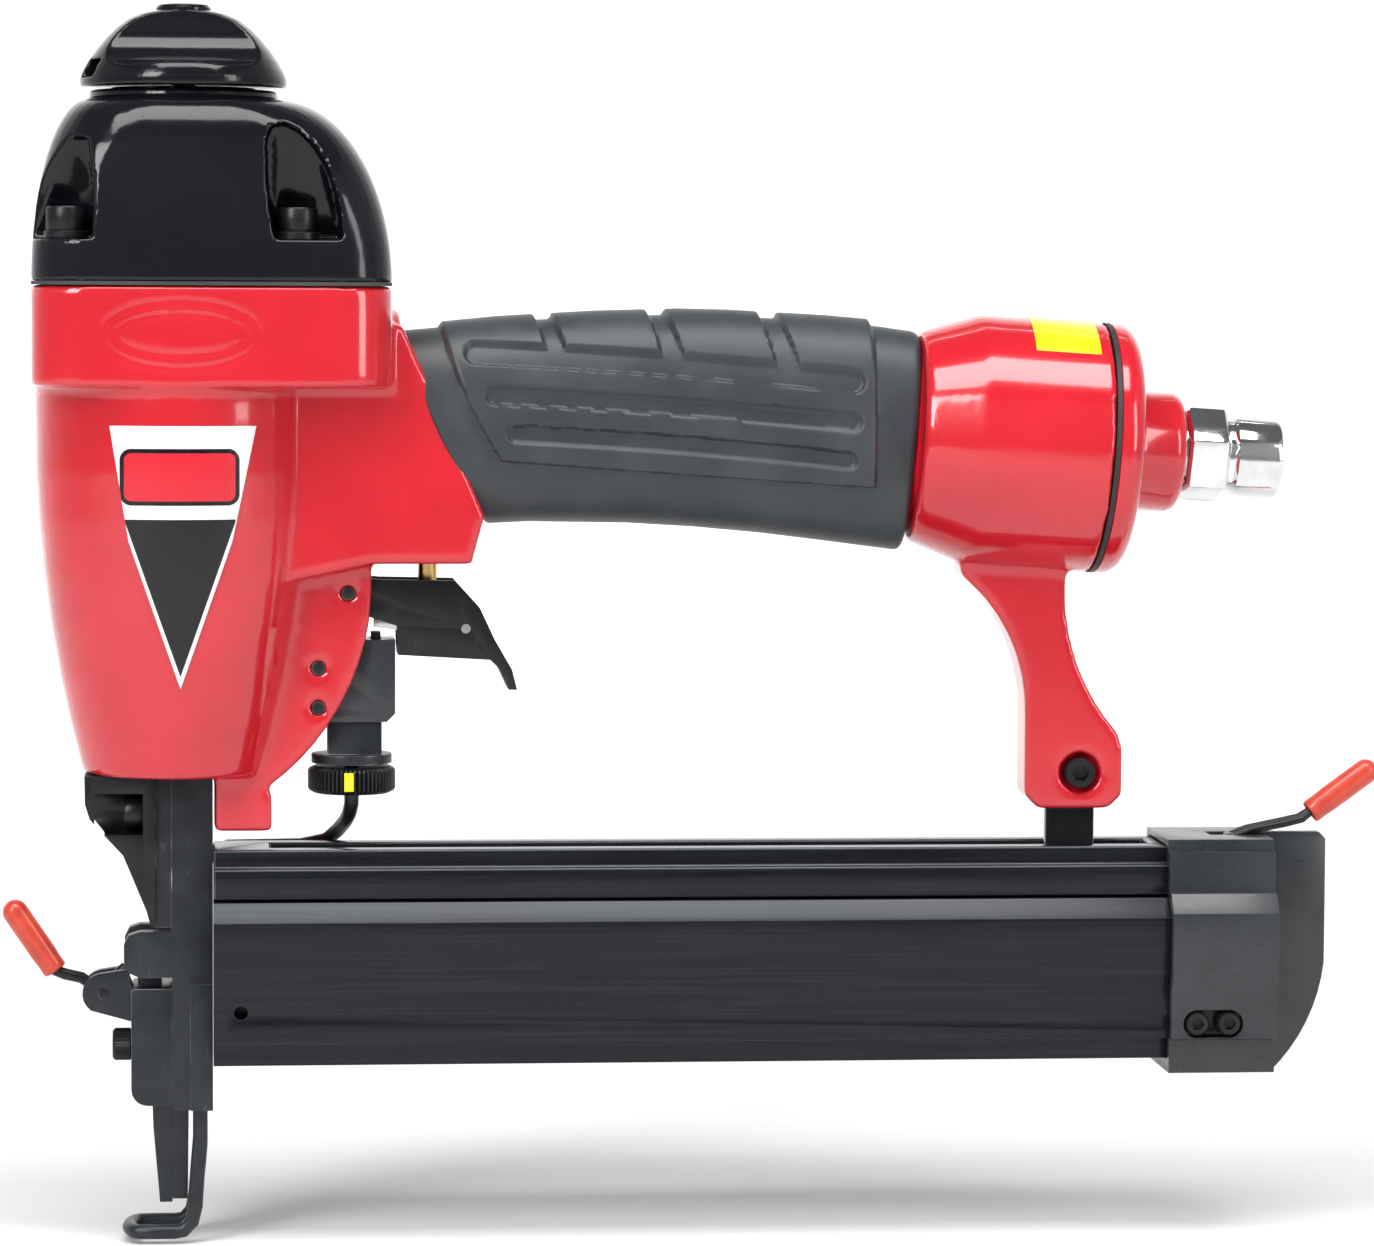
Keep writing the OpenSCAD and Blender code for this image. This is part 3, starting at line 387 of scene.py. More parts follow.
@dataclass(frozen=True)
class Moulding:
    """Rubber or moulded plastic with a stippled skin."""

    name: str
    colour: Colour
    light: Colour
    roughness: float = 0.5
    stipple: float = 0.5
    depth: float = 0.03
    rub: float = 0.3

    def make(self) -> bpy.types.Material:
        """Build the material.

        Returns:
            The finished material.
        """
        shop = Shop(self.name)
        cloud = shop.noise(11.0, 5.0)
        skin = shop.noise(self.stipple, 3.0)
        scuff = shop.noise(2.4, 4.0, (0.35, 1.0, 1.6)).step(0.62, 0.8)
        tint = shop.mix(cloud.step(0.3, 0.75), self.colour, self.light)
        pale = tuple(min(1, 2.2 * c) for c in self.light)
        tint = shop.mix(shop.edges() * cloud * self.rub, tint, pale)
        rough = self.roughness + 0.12 * (cloud - 0.5) - 0.10 * scuff + 0.08 * (skin - 0.5)
        normal = shop.bump(skin, self.depth, 0.8)
        return shop.close(Base_Color=tint, Roughness=rough, Normal=shop.bump(cloud, 0.05, 0.5, normal))


@dataclass(frozen=True)
class Vinyl:
    """Dipped soft vinyl, glossy and slightly uneven."""

    name: str
    colour: Colour
    deep: Colour

    def make(self) -> bpy.types.Material:
        """Build the material.

        Returns:
            The finished material.
        """
        shop = Shop(self.name)
        cloud = shop.noise(3.5, 3.0)
        tint = shop.mix(cloud.step(0.3, 0.75), self.colour, self.deep)
        return shop.close(
            Base_Color=tint, Roughness=0.3 + 0.15 * cloud, Normal=shop.bump(shop.noise(1.6, 3.0), 0.05),
            Subsurface_Weight=0.08, Subsurface_Scale=0.002, Coat_Weight=0.3,
        )


@dataclass(frozen=True)
class Plating:
    """Bright plating with faint smudges."""

    name: str
    colour: Colour
    roughness: float = 0.08

    def make(self) -> bpy.types.Material:
        """Build the material.

        Returns:
            The finished material.
        """
        shop = Shop(self.name)
        smudge = shop.noise(5.0, 5.0)
        tint = shop.mix(smudge.step(0.4, 0.8), self.colour, tuple(c * 0.82 for c in self.colour))
        rough = self.roughness + 0.12 * smudge.step(0.45, 0.8)
        normal = shop.bump(shop.noise(0.8, 3.0), 0.008)
        return shop.close(Base_Color=tint, Metallic=1.0, Roughness=rough, Normal=normal)


@dataclass(frozen=True)
class BadgePrint:
    """Printed shield: white field, black point, red panel with a black rim."""

    name: str
    middle: float = 1.2
    top: float = 154.6
    tip: float = 121.6
    panel: tuple[float, float, float, float] = (1.1, 163.4, 12.4, 5.9)
    corner: float = 2.4
    rim: float = 0.9

    def make(self) -> bpy.types.Material:
        """Build the material.

        Returns:
            The finished material.
        """
        shop = Shop(self.name)
        parts = shop.add("ShaderNodeSeparateXYZ", {}, {"Vector": shop.place})
        along = parts.out("X") * (1 / MM)
        up = parts.out("Z") * (1 / MM)
        across = abs(along - self.middle)
        x, z, half, tall = self.panel
        dx = (abs(along - x) - (half - self.corner)).most(0.0)
        dz = (abs(up - z) - (tall - self.corner)).most(0.0)
        reach = shop.add("ShaderNodeMath", {"operation": "SQRT"}, {0: dx * dx + dz * dz}).out("Value")
        rim = reach < self.corner
        red = reach < self.corner - self.rim
        limit = ((up - self.tip) * 0.352).least((up - self.tip) * 0.2 + 4.9)
        point = (across < limit) * (up < self.top)
        cloud = shop.noise(6.0, 3.0)
        tint = shop.mix(cloud * 0.25, (0.86, 0.87, 0.89), (0.76, 0.77, 0.8))
        tint = shop.mix(rim.most(point), tint, (0.003, 0.003, 0.004))
        tint = shop.mix(red, tint, (0.62, 0.02, 0.035))
        return shop.close(
            Base_Color=tint, Roughness=0.16 + 0.1 * cloud, Normal=shop.bump(shop.noise(1.5, 2.0), 0.01),
            Coat_Weight=0.2, Specular_IOR_Level=0.35,
        )


Finish = Enamel | Steel | Anodised | Moulding | Vinyl | Plating | BadgePrint
FINISHES: dict[str, Finish] = {finish.name: finish for finish in (
    Enamel("red_enamel", (0.60, 0.012, 0.024), (0.52, 0.008, 0.018)),
    Enamel("black_enamel", (0.004, 0.0045, 0.006), (0.006, 0.007, 0.010), 0.10, 0.02, 0.1, 0.32),
    Moulding("grip_rubber", (0.026, 0.031, 0.035), (0.040, 0.046, 0.051), 0.46, 0.45, 0.03),
    Moulding("seal_rubber", (0.016, 0.016, 0.017), (0.028, 0.028, 0.03), 0.6),
    Moulding("bumper_rubber", (0.05, 0.07, 0.04), (0.07, 0.09, 0.05), 0.6),
    Moulding("fibre_gasket", (0.03, 0.03, 0.03), (0.05, 0.05, 0.048), 0.7, 0.3, 0.05),
    Steel("black_oxide", (0.012, 0.013, 0.015), (0.20, 0.20, 0.21), 0.34, 0.5, 0.5),
    Steel("phosphate_steel", (0.020, 0.023, 0.027), (0.36, 0.37, 0.39), 0.40, 0.5, 0.9),
    Steel("spring_steel", (0.30, 0.30, 0.31), (0.5, 0.5, 0.5), 0.3, 1.0, 0.3),
    Steel("ground_steel", (0.45, 0.46, 0.47), (0.7, 0.7, 0.7), 0.25, 1.0, 0.4, (1, 1, 0.03)),
    Steel("alloy", (0.58, 0.58, 0.6), (0.8, 0.8, 0.82), 0.32, 1.0, 0.3, (0.05, 0.05, 1)),
    Anodised("anodised_black", (0.007, 0.008, 0.010), (0.020, 0.024, 0.032)),
    Plating("chrome_plate", (0.80, 0.81, 0.82)),
    Plating("brass_part", (0.62, 0.42, 0.16), 0.25),
    Moulding("moulded_grey", (0.020, 0.023, 0.026), (0.030, 0.034, 0.038), 0.29, 0.35, 0.015),
    Moulding("white_acetal", (0.70, 0.70, 0.67), (0.78, 0.78, 0.75), 0.35, 0.5, 0.01, 0.0),
    Vinyl("red_vinyl", (0.60, 0.055, 0.022), (0.45, 0.03, 0.014)),
    BadgePrint("badge_print"),
    Enamel("yellow_label", (0.86, 0.74, 0.0), (0.80, 0.66, 0.0), 0.3, 0.01),
)}


class Stock:
    """Every material, made once."""

    made: dict[str, bpy.types.Material] = {}

    @classmethod
    def take(cls, slot: str) -> bpy.types.Material:
        """The material for one slot.

        Args:
            slot: A slot's name.

        Returns:
            Its material.
        """
        if slot not in cls.made:
            cls.made[slot] = FINISHES[slot].make()
        return cls.made[slot]


# ---------------------------------------------------------------- modelling


def upright(x: float = 0.0, y: float = 0.0, z: float = 0.0) -> Matrix:
    """Place a local Z axis upright at a point."""
    return Matrix.Translation((x * MM, y * MM, z * MM))


def along_x(x: float = 0.0, y: float = 0.0, z: float = 0.0) -> Matrix:
    """Turn a local Z axis to point back along the tool."""
    return upright(x, y, z) @ Matrix.Rotation(math.pi / 2, 4, "Y")


def handle_axis() -> Matrix:
    """Frame at the front of the handle, local X running back along it."""
    return upright(*HANDLE_AT) @ Matrix.Rotation(math.radians(HANDLE_TILT), 4, "Y")


def to_left(x: float, y: float, z: float) -> Matrix:
    """Turn a local Z axis to point out of the left-hand side."""
    return upright(x, y, z) @ Matrix.Rotation(math.pi / 2, 4, "X")


def to_right(x: float, y: float, z: float) -> Matrix:
    """Turn a local Z axis to point out of the right-hand side."""
    return upright(x, y, z) @ Matrix.Rotation(-math.pi / 2, 4, "X")


class Bench:
    """Modelling steps, made with Blender's own operators."""

    @staticmethod
    def clear() -> None:
        """Leave edit mode and deselect everything."""
        if bpy.context.object and bpy.context.object.mode != "OBJECT":
            bpy.ops.object.mode_set(mode="OBJECT")
        bpy.ops.object.select_all(action="DESELECT")

    @staticmethod
    def pick(obj: bpy.types.Object) -> None:
        """Select one object alone.

        Args:
            obj: The object, made active.
        """
        Bench.clear()
        obj.select_set(True)
        bpy.context.view_layer.objects.active = obj

    @staticmethod
    def edit(obj: bpy.types.Object) -> None:
        """Open an object in edit mode with all of it selected.

        Args:
            obj: The object.
        """
        Bench.pick(obj)
        bpy.ops.object.mode_set(mode="EDIT")
        bpy.ops.mesh.select_all(action="SELECT")

    @staticmethod
    def done(obj: bpy.types.Object, weld: float = 1e-7) -> bpy.types.Object:
        """Merge doubles, turn normals outwards and leave edit mode.

        Args:
            obj: The object.
            weld: Distance in metres under which points merge.

        Returns:
            The object.
        """
        if obj.mode != "EDIT":
            Bench.edit(obj)
        bpy.ops.mesh.select_all(action="SELECT")
        bpy.ops.mesh.remove_doubles(threshold=weld)
        bpy.ops.mesh.normals_make_consistent(inside=False)
        bpy.ops.object.mode_set(mode="OBJECT")
        return obj

    @staticmethod
    def ring(name: str, points: Sequence[Point3], fill: bool) -> bpy.types.Object:
        """A circle primitive pulled to a closed outline.

        Args:
            name: The object's name.
            points: The outline's points.
            fill: Whether it gets a face.

        Returns:
            The object, in edit mode with all of it selected.
        """
        Bench.clear()
        kind = "NGON" if fill else "NOTHING"
        bpy.ops.mesh.primitive_circle_add(vertices=len(points), radius=MM, fill_type=kind)
        obj = bpy.context.object
        obj.name = obj.data.name = name
        for vertex, point in zip(obj.data.vertices, points):
            vertex.co = Vector(point) * MM
        Bench.edit(obj)
        return obj

    @staticmethod
    def part_ends(obj: bpy.types.Object) -> None:
        """Delete the edge between the first and last points of an outline in edit mode.

        Args:
            obj: The outline, left with all of it selected.
        """
        mesh = bmesh.from_edit_mesh(obj.data)
        mesh.verts.ensure_lookup_table()
        ends = {mesh.verts[0], mesh.verts[len(mesh.verts) - 1]}
        for edge in mesh.edges:
            edge.select_set(set(edge.verts) == ends)
        bmesh.update_edit_mesh(obj.data)
        bpy.ops.mesh.delete(type="EDGE")
        bpy.ops.mesh.select_all(action="SELECT")

    @staticmethod
    def turned(name: str, profile: Sequence[Point2], place: Matrix, sides: int = 64) -> bpy.types.Object:
        """Spin a profile about the local Z axis.

        Args:
            name: The object's name.
            profile: Points (radius, height). It closes on itself unless both ends are on the axis.
            place: Where the local frame goes.
            sides: Steps of the spin.

        Returns:
            The object.
        """
        obj = Bench.ring(name, [(r, 0.0, z) for r, z in profile], False)
        if profile[0][0] == 0 and profile[-1][0] == 0:
            Bench.part_ends(obj)
        bpy.ops.mesh.spin(steps=sides, angle=math.tau, center=(0, 0, 0), axis=(0, 0, 1))
        Bench.done(obj, 1e-6)
        obj.data.transform(place)
        return obj

    @staticmethod
    def slab(name: str, outline: Sequence[Point2], y0: float, y1: float) -> bpy.types.Object:
        """Extrude a side-view outline across the tool.

        Args:
            name: The object's name.
            outline: Points (x, z).
            y0: Start of the extrusion.
            y1: End of the extrusion.

        Returns:
            The object.
        """
        obj = Bench.ring(name, [(x, y0, z) for x, z in outline], True)
        bpy.ops.mesh.extrude_region_move(TRANSFORM_OT_translate={"value": (0, (y1 - y0) * MM, 0)})
        return Bench.done(obj)

    @staticmethod
    def block(name: str, low: Point3, high: Point3) -> bpy.types.Object:
        """A box between two corners, for cuts.

        Args:
            name: The object's name.
            low: Its lowest corner.
            high: Its highest corner.

        Returns:
            The object.
        """
        Bench.clear()
        size = [(b - a) * MM for a, b in zip(low, high)]
        middle = [(a + b) / 2 * MM for a, b in zip(low, high)]
        bpy.ops.mesh.primitive_cube_add(size=1, location=middle, scale=size)
        obj = bpy.context.object
        obj.name = name
        bpy.ops.object.transform_apply(location=True, rotation=True, scale=True)
        return obj

    @staticmethod
    def loft(name: str, rings: Sequence[Sequence[Point3]]) -> bpy.types.Object:
        """A grid primitive wrapped round a row of closed sections, with both ends filled.

        Args:
            name: The object's name.
            rings: Sections with the same number of points.

        Returns:
            The object.
        """
        Bench.clear()
        count = len(rings[0])
        bpy.ops.mesh.primitive_grid_add(x_subdivisions=count, y_subdivisions=len(rings) - 1, size=MM)
        obj = bpy.context.object
        obj.name = obj.data.name = name
        for row, ring in enumerate(rings):
            for column in range(count + 1):
                vertex = obj.data.vertices[row * (count + 1) + column]
                vertex.co = Vector(ring[column % count]) * MM
        Bench.edit(obj)
        bpy.ops.mesh.remove_doubles(threshold=1e-6)
        bpy.ops.mesh.select_all(action="DESELECT")
        bpy.ops.mesh.select_non_manifold()
        bpy.ops.mesh.fill_holes(sides=0)
        return Bench.done(obj)

    @staticmethod
    def wire(name: str, path: Sequence[Point3], radius: float, sides: int = 5) -> bpy.types.Object:
        """A round wire along a smooth path, with closed ends.

        Args:
            name: The object's name.
            path: Points that the wire passes.
            radius: Its radius.
            sides: Resolution of its section.

        Returns:
            The object.
        """
        curve = bpy.data.curves.new(name, "CURVE")
        curve.dimensions = "3D"
        curve.bevel_depth = radius * MM
        curve.bevel_resolution = sides
        curve.use_fill_caps = True
        line = curve.splines.new("POLY")
        line.points.add(len(path) - 1)
        for point, at in zip(line.points, path):
            point.co = (*(Vector(at) * MM), 1.0)
        obj = bpy.data.objects.new(name, curve)
        bpy.context.collection.objects.link(obj)
        Bench.pick(obj)
        bpy.ops.object.convert(target="MESH")
        return Bench.done(bpy.context.object, 1e-6)

    @staticmethod
    def copied(name: str, node: str) -> bpy.types.Object:
        """A welded copy of a CAD node's mesh with its flat faces joined.

        Args:
            name: The copy's name.
            node: The CAD node.

        Returns:
            The copy.
        """
        obj = bpy.data.objects.new(name, frame["nodes"][node].data.copy())
        obj.data.name = name
        obj.data.materials.clear()
        bpy.context.collection.objects.link(obj)
        Bench.edit(obj)
        bpy.ops.mesh.customdata_custom_splitnormals_clear()
        bpy.ops.mesh.remove_doubles(threshold=2e-6)
        bpy.ops.mesh.dissolve_limited(angle_limit=math.radians(0.6))
        bpy.ops.object.mode_set(mode="OBJECT")
        return obj

    @staticmethod
    def modify(obj: bpy.types.Object, kind: str, **settings: object) -> bpy.types.Object:
        """Add one modifier and apply it.

        Args:
            obj: The object.
            kind: The modifier's type.
            settings: Its properties.

        Returns:
            The object.
        """
        Bench.pick(obj)
        modifier = obj.modifiers.new(kind, kind)
        for key, value in settings.items():
            setattr(modifier, key, value)
        bpy.ops.object.modifier_apply(modifier=modifier.name)
        return obj

    @staticmethod
    def ease(obj: bpy.types.Object, width: float, segments: int = 2) -> bpy.types.Object:
        """Round the sharp edges and mark the faces of the rounding as worn.

        Args:
            obj: The object.
            width: Size of the rounding.
            segments: Its steps.

        Returns:
            The object.
        """
        for _ in range(2):
            obj.data.materials.append(None)
        Bench.modify(
            obj, "BEVEL", material=1, width=width * MM, segments=segments, limit_method="ANGLE",
            angle_limit=math.radians(32.0), use_clamp_overlap=True, miter_outer="MITER_ARC",
        )
        worn = obj.data.attributes.new("worn", "FLOAT", "CORNER")
        for face in obj.data.polygons:
            for loop in face.loop_indices:
                worn.data[loop].value = float(face.material_index == 1)
            face.material_index = 0
        obj.data.materials.clear()
        return obj

    @staticmethod
    def combine(obj: bpy.types.Object, kind: str, *tools: bpy.types.Object) -> bpy.types.Object:
        """Cut or join other objects, which are used up.

        Args:
            obj: The object that stays.
            kind: DIFFERENCE, UNION or INTERSECT.
            tools: The others.

        Returns:
            The object.
        """
        for tool in tools:
            Bench.modify(obj, "BOOLEAN", operation=kind, object=tool, solver="EXACT")
            bpy.data.objects.remove(tool)
        return obj

    @staticmethod
    def cast(obj: bpy.types.Object, voxel: float, passes: int) -> bpy.types.Object:
        """Blend every edge, as on a casting or moulding.

        Args:
            obj: The object.
            voxel: Remesh size.
            passes: Smoothing passes.

        Returns:
            The object.
        """
        Bench.modify(obj, "REMESH", mode="VOXEL", voxel_size=voxel * MM, adaptivity=0.0)
        return Bench.modify(obj, "SMOOTH", factor=0.5, iterations=passes)

    @staticmethod
    def thin(obj: bpy.types.Object, ratio: float) -> bpy.types.Object:
        """Keep a share of the faces."""
        return Bench.modify(obj, "DECIMATE", ratio=ratio)

    @staticmethod
    def shade(obj: bpy.types.Object, angle: float = 35.0) -> bpy.types.Object:
        """Smooth shading up to an angle.

        Args:
            obj: The object.
            angle: Sharper edges than this stay hard, in degrees.

        Returns:
            The object.
        """
        Bench.pick(obj)
        bpy.ops.object.shade_smooth_by_angle(angle=math.radians(angle))
        return obj

    @staticmethod
    def repeat(obj: bpy.types.Object, places: Sequence[Matrix]) -> bpy.types.Object:
        """Copy a piece to several places, as one object.

        Args:
            obj: The model, used up.
            places: Where each copy goes.

        Returns:
            The joined copies.
        """
        name = obj.name
        obj.name = name + "_model"
        copies = []
        for place in places:
            mesh = obj.data.copy()
            mesh.transform(place)
            copies.append(bpy.data.objects.new(name, mesh))
            bpy.context.collection.objects.link(copies[-1])
        bpy.data.objects.remove(obj)
        Bench.clear()
        for copy in copies:
            copy.select_set(True)
        bpy.context.view_layer.objects.active = copies[0]
        if len(copies) > 1:
            bpy.ops.object.join()
        copies[0].name = copies[0].data.name = name
        return copies[0]

    @staticmethod
    def shape(obj: bpy.types.Object, rule: Callable[[Vector], Vector]) -> bpy.types.Object:
        """Move every point by a rule, in millimetres.

        Args:
            obj: The object.
            rule: New place of a point from its old one.

        Returns:
            The object.
        """
        for vertex in obj.data.vertices:
            vertex.co = rule(vertex.co / MM) * MM
        obj.data.update()
        return obj

    @staticmethod
    def knurl(
        obj: bpy.types.Object, sides: int, inside: float, turn: tuple[int, int], factor: float,
    ) -> bpy.types.Object:
        """Sink columns of points in the rim of a turned piece.

        Args:
            obj: The piece, still standing on the local Z axis.
            sides: Columns of points round it.
            inside: Points farther out than this radius belong to the rim.
            turn: Every how many columns, and which of them, is sunk.
            factor: How far towards the axis a sunk point moves.

        Returns:
            The piece.
        """
        step, which = turn

        def sink(co: Vector) -> Vector:
            """Move a point of a sunk column towards the axis."""
            column = round(math.atan2(co.y, co.x) / math.tau * sides)
            if math.hypot(co.x, co.y) > inside and column % step == which:
                return Vector((co.x * factor, co.y * factor, co.z))
            return co

        return Bench.shape(obj, sink)


def dress(piece: bpy.types.Object, body: Body, slot: str, *nodes: str) -> bpy.types.Object:
    """Give a piece its finish, its body and the nodes it stands for.

    Args:
        piece: The finished piece.
        body: The body it rides on.
        slot: Its material slot.
        nodes: CAD nodes it replaces.

    Returns:
        The piece.
    """
    piece.data.materials.clear()
    piece.data.materials.append(Stock.take(slot))
    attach(piece, body.value)
    if nodes:
        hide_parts(*nodes)
    LOG.info("%s: %d faces, %s", piece.name, len(piece.data.polygons), slot)
    return piece


@dataclass
class CapScrew:
    """Socket-head cap screw with a knurled head, its seat at the origin."""

    thread: float
    length: float
    head: float = 0.85
    sides: int = 72

    def model(self, name: str) -> bpy.types.Object:
        """Model one screw.

        Args:
            name: The object's name.

        Returns:
            The screw, with its hexagon socket cut.
        """
        r, h, t = self.thread * self.head, self.thread, self.thread / 2
        profile = [(0, -self.length), (t - 0.4, -self.length), (t, -self.length + 0.4), (t, 0),
                   (r - 0.25, 0), (r, 0.35), (r, h - 0.5), (r - 0.35, h), (t, h), (0, h)]
        screw = Bench.turned(name, profile, Matrix(), self.sides)
        Bench.knurl(screw, self.sides, r - 0.01, (2, 1), 0.975)
        flat = self.thread * 0.4 / math.cos(math.pi / 6)
        socket = [(0, h * 0.45), (flat, h * 0.5), (flat, h + 1), (0, h + 1)]
        key = Bench.turned("key", socket, Matrix(), 6)
        return Bench.shade(Bench.combine(screw, "DIFFERENCE", key), 40)


def section(x0: float, x1: float, half: float, corner: float, z: float, steps: int = 8) -> list[Point3]:
    """A level rounded rectangle.

    Args:
        x0: Front.
        x1: Rear.
        half: Half width.
        corner: Corner radius.
        z: Height.
        steps: Points along each corner.

    Returns:
        Its points.
    """
    points = []
    for cx, cy, start in ((x1 - corner, half - corner, 0), (x0 + corner, half - corner, 90),
                          (x0 + corner, corner - half, 180), (x1 - corner, corner - half, 270)):
        for i in range(steps + 1):
            a = math.radians(start + 90 * i / steps)
            points.append((cx + corner * math.cos(a), cy + corner * math.sin(a), z))
    return points


def follow(table: Sequence[Point2], at: float) -> float:
    """Value of a line through (place, value) points at a place.

    Args:
        table: The points, in order of place.
        at: The place.

    Returns:
        The value, held level beyond both ends.
    """
    if at <= table[0][0]:
        return table[0][1]
    for (a, u), (b, v) in zip(table, table[1:]):
        if at <= b:
            return u + (v - u) * (at - a) / (b - a)
    return table[-1][1]


def eased(
    piece: str, node: str, width: float, body: Body, slot: str, segments: int = 2,
) -> bpy.types.Object:
    """A CAD node with its edges rounded.

    Args:
        piece: The new piece's name.
        node: The node it stands for.
        width: Size of the rounding.
        body: The body it rides on.
        slot: Its material slot.
        segments: Steps of the rounding.

    Returns:
        The piece.
    """
    obj = Bench.ease(Bench.copied(piece, node), width, segments)
    return dress(Bench.shade(obj), body, slot, node)


# ---------------------------------------------------------------- sub-assemblies


@dataclass
class Casting:
    """Cast body: head joint, barrel, web, neck, bulb and rear arm, with its two embossed rings."""

    voxel: float = 0.8
    passes: int = 7
    ring_at: Point2 = (1.4, 192.8)
    ring_half: Point2 = (14.9, 5.6)
    ring_r: float = 1.1
    ring_depth: float = 0.95
    valley_r: float = 2.6
    valley_depth: float = -1.5
    side: float = 30.5

    def ring(self, side: int, r: float, depth: float) -> bpy.types.Object:
        """One oval ring, either the embossed ring or the cutter of the valley it stands in.

        Args:
            side: -1 for the left, 1 for the right.
            r: Radius of its section.
            depth: How far its centre lies under the flat side.

        Returns:
            The ring.
        """
        round_r, points = 10, 10
        angles = [math.tau * i / points for i in range(points)]
        loop = [(round_r + r * math.cos(a), r * math.sin(a)) for a in angles]
        ring = Bench.turned("ring", loop, Matrix(), 72)

        def oval(co: Vector) -> Vector:
            """Stretch the round ring to the oval."""
            angle, out = math.atan2(co.y, co.x), math.hypot(co.x, co.y) - round_r
            wide, tall = self.ring_half[0] + out, self.ring_half[1] + out
            return Vector((wide * math.cos(angle), tall * math.sin(angle), co.z))

        Bench.shape(ring, oval)
        turn = to_right if side > 0 else to_left
        ring.data.transform(turn(self.ring_at[0], side * (self.side - depth), self.ring_at[1]))
        return ring

    def build(self) -> None:
        """Build and dress the casting."""
        body = Bench.copied("cast_body", "main_housing")
        valleys = [self.ring(s, self.valley_r, self.valley_depth) for s in (-1, 1)]
        Bench.combine(body, "DIFFERENCE", *valleys)
        Bench.combine(body, "UNION", *(self.ring(s, self.ring_r, self.ring_depth) for s in (-1, 1)))
        Bench.combine(body, "DIFFERENCE", Grip().room())
        Bench.cast(body, self.voxel, self.passes)
        Bench.shade(Bench.thin(body, 0.5), 60)
        dress(body, Body.TOOL, "red_enamel", "main_housing")


@dataclass
class HeadCap:
    """Gloss black cap with four screw recesses, its screws and washers."""

    seam: float = 203.5
    base: float = 203.9
    height: float = 38.6
    front: float = -29.7
    rear: float = 45.4
    half: float = 30.5
    corner: float = 12.0
    neck: float = 19.8
    top: float = 244.1
    pocket_z: float = 212.6
    inner_y: float = 16.65
    screw_x: Point2 = (-22.2, 25.5)
    screw_y: float = 22.5
    washer: float = 1.7
    crown: Point2 = (-18.0, 22.0)
    wall: float = 8.0
    shoulder: float = 10.0

    def shell(self) -> bpy.types.Object:
        """The domed shell without its recesses.

        Returns:
            The shell.
        """
        rings = []
        steps, first, last = 22, 0.6, 89.0
        ahead, behind = self.crown
        for i in range(steps + 1):
            angle = math.radians(max(first, last * i / steps))
            z = self.seam + self.height * math.sin(angle)
            lift = max(0.0, (z - self.seam - self.wall) / (self.height - self.wall))
            half = self.half - self.shoulder + self.shoulder * math.sqrt(max(0.0, 1 - lift * lift))
            x0 = ahead + (self.front - ahead) * math.cos(angle)
            x1 = behind + (self.rear - behind) * math.cos(angle)
            rings.append(section(x0, x1, half, self.corner + 5 * lift, max(z, self.base), 10))
        return Bench.loft("head_shell", rings)

    def recess(self, rear: bool, side: int) -> bpy.types.Object:
        """A cutter for one screw recess.

        Args:
            rear: Whether it is one of the rear pair.
            side: -1 for the left, 1 for the right.

        Returns:
            The cutter.
        """
        z = self.pocket_z
        if rear:
            outline = [(20.6, z), (34.7, z), (34.6, z + 4.5), (33.7, z + 9.5), (31.9, z + 15),
                       (29.2, z + 19.5), (26, z + 22.6), (22.6, z + 24.2), (20, z + 23.6),
                       (18.8, z + 20.5), (18.9, z + 13), (19.6, z + 6)]
        else:
            outline = [(-16.6, z), (-16.2, z + 12), (-17.6, z + 21), (-60, z + 21), (-60, z)]
        outer, lean_from, slope = -60.0, z + 10, 0.45
        cutter = Bench.slab("recess", outline, outer, -self.inner_y)

        def lean(co: Vector) -> Vector:
            """Lean the inner wall outwards above the screw."""
            if co.y > outer / 2:
                co.y -= max(0.0, co.z - lean_from) * slope
            return Vector((co.x, co.y * -side, co.z))

        return Bench.done(Bench.shape(cutter, lean))

    def build(self) -> None:
        """Build and dress the head's pieces."""
        cap = self.shell()
        neck = [(0, self.top - 6), (self.neck + 1.2, self.top - 6), (self.neck + 0.2, self.top - 2.4),
                (self.neck, self.top - 0.3), (self.neck - 0.3, self.top), (0, self.top)]
        Bench.combine(cap, "UNION", Bench.turned("neck", neck, upright(1.9), 72))
        cuts = [self.recess(rear, side) for rear in (False, True) for side in (-1, 1)]
        inner, low, high = 21, self.base - 5, self.base + 22
        hollow = [(0, low), (inner, low), (inner, high - 1), (inner - 1, high), (0, high)]
        cuts.append(Bench.turned("hollow", hollow, Matrix(), 64))
        Bench.combine(cap, "DIFFERENCE", *cuts)
        Bench.cast(cap, 0.55, 3)
        dress(Bench.shade(Bench.thin(cap, 0.6), 50), Body.TOOL, "black_enamel", "head_cap")
        places = [upright(x, s * self.screw_y, self.pocket_z + self.washer)
                  for x in self.screw_x for s in (-1, 1)]
        screws = Bench.repeat(CapScrew(5.0, 22.0).model("head_screw_set"), places)
        dress(screws, Body.TOOL, "black_oxide", "head_screws")
        washer = [(2.7, -self.washer), (4.4, -self.washer), (4.65, -self.washer + 0.2), (4.65, -0.2),
                  (4.4, 0), (2.7, 0)]
        washers = Bench.repeat(Bench.turned("head_washer_set", washer, Matrix(), 48), places)
        dress(Bench.shade(washers), Body.TOOL, "black_oxide", "head_washers")


